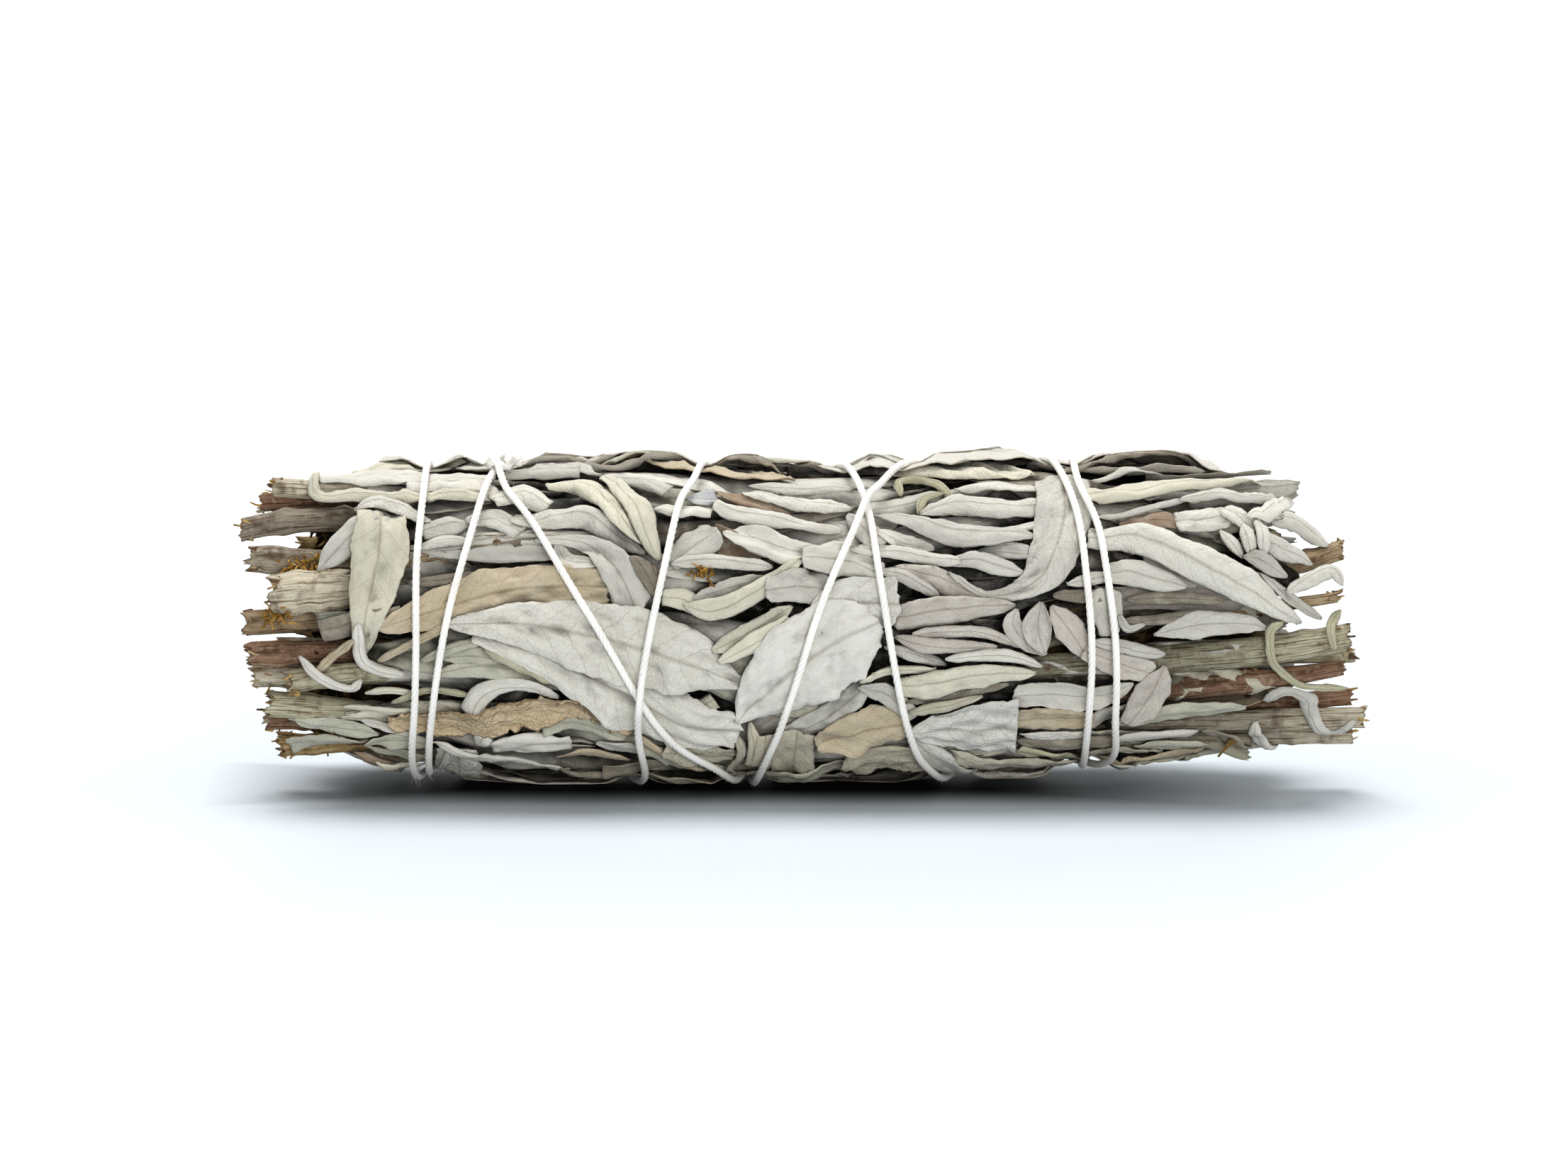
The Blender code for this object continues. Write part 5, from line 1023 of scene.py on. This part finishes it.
# Inner leaves in the dark, a middle layer half hidden by the outer leaves, and the outer ones of the top,
# the back and the underside. Each layer has how many leaves, how far from the middle they may lie along x,
# the first angle and the span of angles, where the even spread starts, the step in the tints, and how its
# leaves are laid.
LAYERS = {
    "inner_leaves": (100, 44, (0, 360), (0.2, 0.1), 1,
                     {"bed": -6.2, "limit": -3.6, "lift": 0.3, "spacing": 1.25}),
    "middle_leaves": (110, 45, (0, 360), (0.55, 0.7), 7,
                      {"widths": (5, 9), "bed": -4.6, "limit": -1.9, "lift": 0.1, "spacing": 0.95}),
    "outer_leaves": (190, 46, (98, 168), (0.3, 0.4), 5, {"lift": 0.14, "limit": 0.6}),
}
STEP_ALONG, STEP_ROUND = 0.618034, 0.754877  # shares that spread points evenly without rows
LONG_STEM = (16, -8, 24)  # the stem that shows at the right: from which x, its angle and the room beside it

leaf_rng = np.random.default_rng(21)
laid_leaves = {}
for layer, (count, reach, (low, spread), start, tint_step, laying) in LAYERS.items():
    laid_leaves[layer] = []
    for k in range(count):
        x = -reach + 2 * reach * ((k * STEP_ALONG + start[0]) % 1.0)
        angle = math.radians(low + spread * ((k * STEP_ROUND + start[1]) % 1.0))
        beside = abs((math.degrees(angle) - LONG_STEM[1] + 180) % 360 - 180)
        if layer == "middle_leaves" and x > LONG_STEM[0] and beside < LONG_STEM[2]:
            continue
        made = drawn_leaf(x, angle, leaf_rng, **laying)
        laid_leaves[layer].append((made, DRAWN_TINTS[tint_step * k % len(DRAWN_TINTS)]))
laid_leaves.update({"front_leaves": [], "dry": []})
for form, tint, widths, shown in FRONT_LEAVES:
    made = seen_leaf(form, widths, shown, leaf_rng, torn=2.0 if tint == "dry" else 1.0)
    laid_leaves["dry" if tint == "dry" else "front_leaves"].append((made, tint))

around_heights = height_around()
for name, leaves in laid_leaves.items():
    if name != "dry":
        leaf_pieces(name, [leaf_parts(*made, TINTS[tint], leaf_rng) for made, tint in leaves])


# Leaf ends and the imported middle
# At both ends of the bundle the leaves stop short of the stems and stick out between them as curled, broken
# tips. Behind them the middle of the bundle is packed tight with crumbled leaf, painted dark as shade between
# the stems.

def end_leaf(end, way, rng):
    """A leaf that runs along the inside and comes out at an end, its tip free: the same cross-section on a
    straight line that bends a little, at a place clear of the stems."""
    for _ in range(40):
        reach, turn = 15.2 * math.sqrt(rng.uniform(0.02, 1)), rng.uniform(0, 2 * math.pi)
        y, z = -reach * math.cos(turn), outline_centre(end) + reach * math.sin(turn)
        near = [np.hypot(axis[1, :40] - y, axis[2, :40] - z).min() - axis[3, 0]
                for axis in stem_axes if axis[0, 0] * way > 0]
        if min(near) > 0.5:
            break
    length, width = rng.uniform(11, 19), rng.uniform(2.2, 5.2)
    rows = 15
    s = np.linspace(0, 1, rows)
    tip = end + way * rng.uniform(0.0, 7.5)
    bend = rng.normal(0, 0.6, 2)
    line = np.stack([tip - way * length * (1 - s), y + bend[0] * s**2 * 2, z + bend[1] * s**2 * 2], -1)
    lean = turn + math.pi / 2 + rng.normal(0, 0.6)
    wide = np.array([0.0, -math.cos(lean), math.sin(lean)])
    high = np.array([0.0, -math.sin(lean), -math.cos(lean)])
    widths = width * (1 - 0.35 * s) * np.sqrt(np.clip((1 - s) * 7 + 0.25, 0, 1))
    form = rng.choice(("flat", "roll", "cup"))
    across, height, along_blade, t = cross_section(form, widths, s * length, 7, rng)
    grid = line[:, None] + across[..., None] * wide * way + height[..., None] * high
    grid[..., 0] += way * 0.5 * wobble(t * width, rng, 5, 3.0)[None] * (s[:, None] ** 6)
    grid += ripples(s[:, None] * length, along_blade, rng, 0.12, 1.8, 5.0)[..., None] * high
    return grid, t, np.stack([s[:, None] * length + 0 * along_blade, along_blade], -1), None


end_rng = np.random.default_rng(8)
end_parts = []
for end, way, count in ((-51.0, -1, 85), (50.5, 1, 85)):
    for k in range(count):
        made = end_leaf(end, way, end_rng)
        tint = TINTS[DRAWN_TINTS[7 * k % len(DRAWN_TINTS)]]
        # The end leaves are painted a quarter darker: painted shade among the stems.
        end_parts.append(leaf_parts(*made, tint, end_rng, deep=0.25))
leaf_pieces("end_leaves", end_parts)


def crumbled_material():
    """Crumbled leaf and bark, painted nearly black as the shade between the stems, with paler crumbs."""
    material, tree, shader = new_material("crumbled_leaf", 0.95, 0.1)
    spot = add(tree, "TexCoord").outputs["Object"]
    crumbs = noise(tree, spot, 900.0, 5.0, 0.7)
    # The nearly black colour is painted shade in the middle of the bundle.
    colour = tinted(tree, stepped(tree, crumbs, 0.38, 0.72), srgb(38, 30, 23), srgb(128, 108, 78))
    finish_material(tree, shader, colour, crumbs, 1.0, 0.0006)
    return material


def packed_middle():
    """A closed tube round the axis. Radius = outline - 6.5 + lumps, times a dome that closes each end."""
    rows, around = 150, 96
    s = np.linspace(-1, 1, rows)
    x = -2.4 + 54.4 * np.sin(s * math.pi / 2)
    angle = circle(around)
    rng = np.random.default_rng(4)
    rough = np.clip(np.abs(x) - 44, 0.6, 10) / 10
    lumps = rough[:, None] * rng.normal(0, 0.8, (rows, around))
    lumps += ripples(x[:, None], MEAN_RADIUS * angle[None], rng, 0.5, 3.0, 8.0)
    dome = np.sqrt(np.clip(1 - np.abs(s) ** 18, 0.0, 1))[:, None]
    radius = (outline_radius(x)[:, None] + MIDDLE_HEIGHT + lumps) * dome
    points = np.stack([x[:, None] + rough[:, None] * rng.normal(0, 0.5, radius.shape) * dome**2,
                       -radius * np.cos(angle), outline_centre(x)[:, None] + radius * np.sin(angle)], -1)
    return points.reshape(-1, 3), grid_faces(rows, around, closed=True)[:, ::-1]


middle = make_piece("packed_middle", *packed_middle(), crumbled_material())
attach(middle, "root")
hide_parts("leaf_bundle")


def chip(spot, ahead, length, width, rng):
    """A splinter or a crumb: a small bent slab, its width falling unevenly from root to tip."""
    s = np.linspace(0, 1, 5)
    ahead = unit(ahead)
    side = unit(np.cross(ahead, rng.normal(0, 1, 3)))
    up = np.cross(side, ahead)
    line = spot + np.outer(s * length, ahead) + np.outer(rng.normal(0, 0.25) * length * s**2, up)
    half = width / 2 * (1 - 0.75 * s ** rng.uniform(0.6, 2.0)) * (1 + 0.3 * rng.normal(0, 1, 5))
    t = np.array([-1.0, 0.0, 1.0])
    grid = line[:, None] + (half[:, None] * t)[..., None] * side
    grid = grid + (0.25 * half[:, None] * np.abs(t))[..., None] * up
    return grid, t, np.stack([s[:, None] * length + 0 * t, half[:, None] * t], -1), None


# Splinters and crumbs at both ends, on the broken ends of the stems and in the dark between them.
CHIP_TONES = (srgb(184, 160, 120), srgb(172, 156, 130), srgb(134, 114, 92), srgb(204, 190, 158),
              srgb(116, 98, 82), srgb(196, 190, 170), srgb(192, 166, 116))
GOLDEN = srgb(200, 164, 98)
chip_rng = np.random.default_rng(14)
chips = []
for axis in stem_axes:
    way = -1.0 if axis[0, 0] < 0 else 1.0
    for k in range(9 if way < 0 else 6):
        turn = chip_rng.uniform(0, 2 * math.pi)
        rim = axis[3, 0] * math.sqrt(chip_rng.uniform(0.3, 1.0))
        spot = np.array([axis[0, 0] - way * chip_rng.uniform(0.2, 1.6), axis[1, 0] + rim * math.cos(turn),
                         axis[2, 0] + rim * math.sin(turn)])
        ahead = np.array([way, *chip_rng.normal(0, 0.28, 2)])
        made = chip(spot, ahead, chip_rng.uniform(0.5, 1.5), chip_rng.uniform(0.25, 0.8), chip_rng)
        chips.append(leaf_parts(*made, CHIP_TONES[chip_rng.integers(len(CHIP_TONES))], chip_rng))
for low, high, count in ((-57.5, -53.0, 300), (50.0, 54.0, 180)):
    for k in range(count):
        reach, turn = 13.8 * math.sqrt(chip_rng.uniform(0, 1)), chip_rng.uniform(0, 2 * math.pi)
        spot = np.array([chip_rng.uniform(low, high), -reach * math.cos(turn), -0.6 + reach * math.sin(turn)])
        ahead = chip_rng.normal(0, 1, 3)
        made = chip(spot, ahead, chip_rng.uniform(0.8, 3.0), chip_rng.uniform(0.4, 1.6), chip_rng)
        tone = CHIP_TONES[chip_rng.integers(len(CHIP_TONES))]
        # Painted shade: the crumbs between the stems are darkened by a drawn share.
        chips.append(leaf_parts(*made, tone, chip_rng, deep=chip_rng.uniform(0.2, 0.8)))
# Golden crumbs of resin and flower in four hollows: where (x, height seen), how deep, how many, how spread.
for (x, z), depth, count, spread in (((-11.4, 8.5), 1.1, 26, 0.8), ((-58.0, 9.9), 3.2, 46, 1.2),
                                     ((-60.7, 3.3), 2.6, 30, 0.9), ((-62.0, -6.0), 3.4, 18, 0.7)):
    for k in range(count):
        dx, dz = chip_rng.normal(0, spread, 2)
        angle = float(angle_seen(x, z + 0.7 * dz))
        spot = on_bundle(np.array(x + dx), angle, -depth)
        ahead = chip_rng.normal(0, 1, 3)
        made = chip(spot, ahead, chip_rng.uniform(0.5, 1.6), chip_rng.uniform(0.2, 0.7), chip_rng)
        # Painted shade: the golden crumbs in the hollows are darkened by a drawn share.
        chips.append(leaf_parts(*made, GOLDEN, chip_rng, deep=chip_rng.uniform(0, 0.5)))


def splinter_material():
    """Broken wood and bark: the tone streaked along the fibres."""
    material, tree, shader = new_material("splintered_wood", 0.85, 0.2)
    uv = add(tree, "UVMap").outputs[0]
    tone = point_state(tree)[0]
    fibre, blotch = add(tree, "Group", {"node_tree": streaks}, Vector=uv, Along=0.8, Across=5.0).outputs
    colour = tinted(tree, stepped(tree, fibre, 0.38, 0.58, 0.75, 0.0), tone, (0.35, 0.27, 0.20), "MULTIPLY")
    colour = tinted(tree, stepped(tree, blotch, 0.52, 0.62, 0.0, 0.5), colour, srgb(214, 184, 124))
    finish_material(tree, shader, colour, fibre, 0.8, 0.00012)
    return material


points, quads, uvs, colours = joined(chips)
splinters = make_piece("end_splinters", on_floor(points), quads, splinter_material(), uvs, colours)
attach(splinters, "root")


# Dry leaf
# One leaf that dried brown and brittle, lying on top of the others under the string at the lower left. Its
# margins are torn and rolled, and its veins stand out.

def dry_material():
    """A brown brittle leaf: streaked and blotched, its net of veins darker and its margins burnt."""
    material, tree, shader = new_material("dry_brown_leaf", 0.8, 0.25)
    uv = add(tree, "UVMap").outputs[0]
    tone, _, outward, _ = point_state(tree)
    net = add(tree, "Group", {"node_tree": veins}, Vector=uv, Outward=outward, Cells=1.7).outputs
    streak, blotch = add(tree, "Group", {"node_tree": streaks}, Vector=uv, Along=0.4, Across=1.6).outputs
    colour = tinted(tree, stepped(tree, streak, 0.35, 0.60, 0.4, 0.0), tone, (0.50, 0.42, 0.34), "MULTIPLY")
    colour = tinted(tree, stepped(tree, blotch, 0.48, 0.66, 0.0, 0.5), colour, srgb(218, 206, 184))
    for vein, strength in ((net["Fine"], 0.15), (net["Coarse"], 0.2), (net["Side"], 0.4)):
        factor = combined(tree, "MULTIPLY", vein, strength)
        colour = tinted(tree, factor, colour, (0.35, 0.26, 0.18), "MULTIPLY")
    colour = tinted(tree, stepped(tree, outward, 0.93, 1.0, 0.0, 0.6), colour, srgb(126, 98, 70))
    finish_material(tree, shader, colour, net["Swelling"], 0.8, 0.00012)
    return material


made = laid_leaves["dry"][0][0]
points, quads, uvs, colours = joined([leaf_parts(*made, srgb(212, 196, 168), leaf_rng)])
dry_leaf = make_piece("dry_brown_leaf", on_floor(points), quads, dry_material(), uvs, colours)
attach(dry_leaf, "root")
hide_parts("dry_leaf")


# String
# One cord of white cotton, four plies twisted together, 0.9 mm thick. It is wound eight times round the
# bundle, pulled tight so that it sinks between the leaves, and knotted at the top left, where its fibres
# come loose.

STRING_RADIUS = 0.44
STRING_RINGS = 3300
KNOT = (-35.3, math.radians(79))
FIBRES, KNOT_FIBRES = 640, 120
FIBRE_RADIUS = 0.022
HIGHEST_FIBRE = 20.8


def string_material():
    """Cotton: off-white, with painted shade down between the plies, and fine fibres that run along them."""
    material, tree, shader = new_material("cotton_string", 0.85, 0.25, 0.3)
    uv = add(tree, "UVMap").outputs[0]
    _, groove, _, _ = point_state(tree)
    fibre, _ = add(tree, "Group", {"node_tree": streaks}, Vector=uv, Along=1.6, Across=11.0).outputs
    cotton = tinted(tree, stepped(tree, fibre, 0.35, 0.65), srgb(240, 238, 231), srgb(254, 253, 250))
    # Painted shade down between the plies.
    cotton = tinted(tree, stepped(tree, groove, 0.45, 1.0, 0.0, 0.45), cotton, srgb(204, 199, 186))
    finish_material(tree, shader, cotton, fibre, 0.4, 0.00008)
    return material


def twisted_cord(line, along, outward, plies=4, lay=3.6, around=12):
    """A twisted cord as points, triangles, UV, tone and state, whose first number is how deep a point lies
    between two plies: a ring across each point of the line, full over a ply and drawn in between two.

    Radius = r (0.80 + 0.22 |cos(n (a - t) / 2)|^0.8), where the twist t makes one turn in each lay."""
    angle = circle(around)
    turn = angle[None] - (2 * math.pi * along / lay)[:, None]
    ahead = unit(np.gradient(line, axis=0))
    outward = unit(outward - (outward * ahead).sum(1)[:, None] * ahead)
    side = np.cross(ahead, outward)
    ply = np.abs(np.cos(plies / 2 * turn))
    size = STRING_RADIUS * (0.80 + 0.22 * ply**0.8)
    size[[0, -1]] *= 0.05
    points = line[:, None] + size[..., None] * (np.cos(angle)[None, :, None] * outward[:, None]
                                                + np.sin(angle)[None, :, None] * side[:, None])
    uvs = np.stack([np.repeat(along, around), (turn * STRING_RADIUS).ravel()], -1)
    first = np.arange(around)
    last = first + (len(line) - 1) * around
    caps = (np.stack([first[0] + 0 * first[1:-1], first[2:], first[1:-1]], -1),
            np.stack([last[0] + 0 * last[1:-1], last[1:-1], last[2:]], -1))
    triangles = np.concatenate([triangles_of(grid_faces(len(line), around, closed=True)), *caps])
    # How deep a point lies between the plies: the material paints shade by it.
    groove = (1 - ply).ravel()
    state = np.stack([groove, 0 * groove, 0 * groove], -1)
    return points.reshape(-1, 3), triangles, uvs, np.ones((len(groove), 3)), state


def on_route(along):
    """The place and the height of the string at a length along it."""
    return (np.interp(along, route_length, v) for v in (route[:, 0], route[:, 1], route_height))


def wound_string():
    """The whole cord on its way round the bundle, from the knot back to the knot."""
    along = np.linspace(0, route_length[-1], STRING_RINGS)
    x, angle, height = on_route(along)
    line = on_bundle(x, angle, height)
    return twisted_cord(line, along, np.stack([0 * x, -np.cos(angle), np.sin(angle)], -1))


def knot_loops():
    """The knot: two tight loops of the cord over its crossing, each a tilted ring that rises and dips."""
    x, angle = KNOT
    up = np.array([0.0, -math.cos(angle), math.sin(angle)])
    across = np.array([0.0, math.sin(angle), math.cos(angle)])
    centre = on_bundle(np.array(x), np.array(angle), np.array(0.2))
    turn = np.linspace(0, 1.9 * math.pi, 80)
    loops = []
    for lean, wide, tall, lift in ((0.5, 1.15, 0.95, 0.0), (-0.7, 0.95, 1.05, 0.4)):
        right, ahead = wide * np.cos(turn), tall * np.sin(turn)
        line = (centre + np.outer(right * math.cos(lean) - ahead * math.sin(lean), (1.0, 0.0, 0.0))
                + np.outer(right * math.sin(lean) + ahead * math.cos(lean), across)
                + np.outer(lift + 0.35 * np.sin(2 * turn + lean), up))
        loops.append(twisted_cord(line, turn * 1.1, np.tile(up, (80, 1))))
    return loops


def loose_fibres():
    """Fibres that stand off the cord, thickest at the knot: thin three-sided threads on curved lines."""
    rng = np.random.default_rng(11)
    count, rows, sides = FIBRES, 6, 3
    at_knot = np.arange(count) < KNOT_FIBRES
    x, angle, height = on_route(rng.uniform(0, route_length[-1], count))
    x = np.where(at_knot, KNOT[0] + rng.uniform(-1.0, 2.8, count), x)
    angle = np.where(at_knot, KNOT[1] + rng.uniform(-0.04, 0.04, count), angle)
    height = np.where(at_knot, rng.uniform(0.1, 0.8, count), height + 0.3)
    root = on_bundle(x, angle, height)
    out = unit(np.stack([0 * x, -np.cos(angle), np.sin(angle)], -1) + rng.normal(0, 0.6, (count, 3)))
    reach = np.where(at_knot, rng.uniform(0.7, 2.2, count), rng.uniform(0.3, 1.0, count))
    bend = rng.normal(0, 0.6, (count, 3))
    t = np.linspace(0, 1, rows)[None, :, None]
    line = root[:, None] + reach[:, None, None] * (t * out[:, None] + t**2 * bend[:, None])
    side = unit(np.cross(out, (0.31, 0.2, 0.93)))
    other = np.cross(out, side)
    turn = circle(sides)
    ring = np.cos(turn)[None, :, None] * side[:, None] + np.sin(turn)[None, :, None] * other[:, None]
    taper = np.array([1, 1, 0.95, 0.85, 0.6, 0.1])[None, :, None, None]
    points = (line[:, :, None] + FIBRE_RADIUS * taper * ring[:, None]).reshape(-1, 3)
    points[:, 2] = np.minimum(points[:, 2], HIGHEST_FIBRE)
    tip = rows * sides
    one = np.concatenate([triangles_of(grid_faces(rows, sides, closed=True)),
                          [[0, 2, 1], [tip - 3, tip - 2, tip - 1]]])
    faces = (one[None] + (np.arange(count) * rows * sides)[:, None, None]).reshape(-1, 3)
    blank = np.zeros((len(points), 3))
    return points, faces, np.zeros((len(points), 2)), blank + 1, blank


cotton = string_material()
for name, parts in (("cotton_string", [wound_string()]), ("string_knot", knot_loops() + [loose_fibres()])):
    points, triangles, uvs, colours = joined(parts)
    piece = make_piece(name, on_floor(points), triangles, cotton, uvs, colours)
    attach(piece, "root")
    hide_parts("string")


# Floor, light and camera
# A pale floor under a large soft light, and a camera that looks straight at the bundle's long side from a
# little above it.

PHOTO_SCALE = 12.17  # pixels to a millimetre
PHOTO_SIZE = (2212, 1659)
AXIS_IN_PHOTO = (1134, 878)
ELEVATION = math.radians(8.0)
LENS, SENSOR = 200.0, 36.0
FOCUS_DEPTH = -8.0  # the scale holds on a plane this far in front of the axis


def floor_material():
    """A white surface, with painted shade that makes it bluish grey near the bundle, and a painted shadow, a
    dark
    line where the bundle nearly touches it: under its overhang, over its whole length."""
    material, tree, shader = new_material("pale_floor", 0.55, 0.2)
    spot = add(tree, "TexCoord").outputs["Object"]
    away = add(tree, "VectorMath", {"operation": "LENGTH"}, i0=spot).outputs["Value"]
    # Painted shade: bluish grey near the bundle, white further off.
    colour = tinted(tree, stepped(tree, away, 0.06, 0.30), srgb(208, 215, 221), srgb(240, 242, 243))
    x, y, _ = add(tree, "SeparateXYZ", Vector=spot).outputs
    # Painted shadow: nearly black in a band under the bundle's overhang, along its length.
    beside = stepped(tree, combined(tree, "ABSOLUTE", y, 0.0), 0.004, 0.016)
    past = stepped(tree, combined(tree, "ABSOLUTE", combined(tree, "ADD", x, 0.010), 0.0), 0.030, 0.060)
    colour = tinted(tree, combined(tree, "MAXIMUM", beside, past), (0.02, 0.02, 0.022), colour)
    tree.links.new(colour, shader.inputs["Base Color"])
    return material


def curved_floor():
    """A floor that rises into a backdrop: a straight line, a quarter circle and a straight line, drawn
    along x, in metres until the last line."""
    flat, bend, tall, half = 3.2, 0.5, 1.6, 3.0
    turn = np.linspace(0, math.pi / 2, 24)
    y = np.concatenate([[-2.0], flat + bend * np.sin(turn), [flat + bend]])
    z = np.concatenate([[0.0], bend - bend * np.cos(turn), [bend + tall]])
    x = np.linspace(-half, half, 12)
    points = np.stack([x[None] + 0 * y[:, None], y[:, None] + 0 * x[None], z[:, None] + 0 * x[None]], -1)
    return points.reshape(-1, 3) / MM - (0.0, 0.0, AXIS_UP), grid_faces(len(y), len(x))


floor = make_piece("floor", *curved_floor(), floor_material())


def sun(name, turn, elevation, softness, strength, colour):
    """A very broad light from far off. Its turn is counted from the front towards the right, in degrees."""
    lamp = bpy.data.lights.new(name, "SUN")
    lamp.angle = math.radians(softness)
    lamp.energy = strength
    lamp.color = colour
    shown = bpy.data.objects.new(name, lamp)
    bpy.context.scene.collection.objects.link(shown)
    turn, elevation = math.radians(turn), math.radians(elevation)
    towards = Vector((math.sin(turn) * math.cos(elevation), -math.cos(turn) * math.cos(elevation),
                      math.sin(elevation)))
    shown.rotation_euler = towards.to_track_quat("Z", "Y").to_euler()


sun("light_above", -160.0, 70.0, 40.0, 2.05, (1.0, 0.985, 0.97))
sun("light_front", 14.0, 1.0, 36.0, 1.6, (1.0, 0.99, 0.98))

world = bpy.data.worlds.new("studio")
world.use_nodes = True
world.node_tree.nodes["Background"].inputs["Color"].default_value = (0.97, 0.98, 1.0, 1.0)
world.node_tree.nodes["Background"].inputs["Strength"].default_value = 0.40
bpy.context.scene.world = world
bpy.context.scene.view_settings.view_transform = "Standard"
bpy.context.scene.view_settings.look = "High Contrast"

camera_data = bpy.data.cameras.new("camera")
camera_data.lens = LENS
camera_data.sensor_width = SENSOR
camera = bpy.data.objects.new("camera", camera_data)
bpy.context.scene.collection.objects.link(camera)
view_width = PHOTO_SIZE[0] / PHOTO_SCALE
distance = view_width * LENS / SENSOR
across = (PHOTO_SIZE[0] / 2 - AXIS_IN_PHOTO[0]) / PHOTO_SCALE
above = (AXIS_IN_PHOTO[1] - PHOTO_SIZE[1] / 2) / PHOTO_SCALE
aim_up = AXIS_UP + above / math.cos(ELEVATION) - FOCUS_DEPTH * math.tan(ELEVATION)
aim = Vector((across, FOCUS_DEPTH, aim_up)) * MM
camera.location = aim + distance * MM * Vector((0.0, -math.cos(ELEVATION), math.sin(ELEVATION)))
camera.rotation_euler = (aim - camera.location).to_track_quat("-Z", "Y").to_euler()
bpy.context.scene.camera = camera
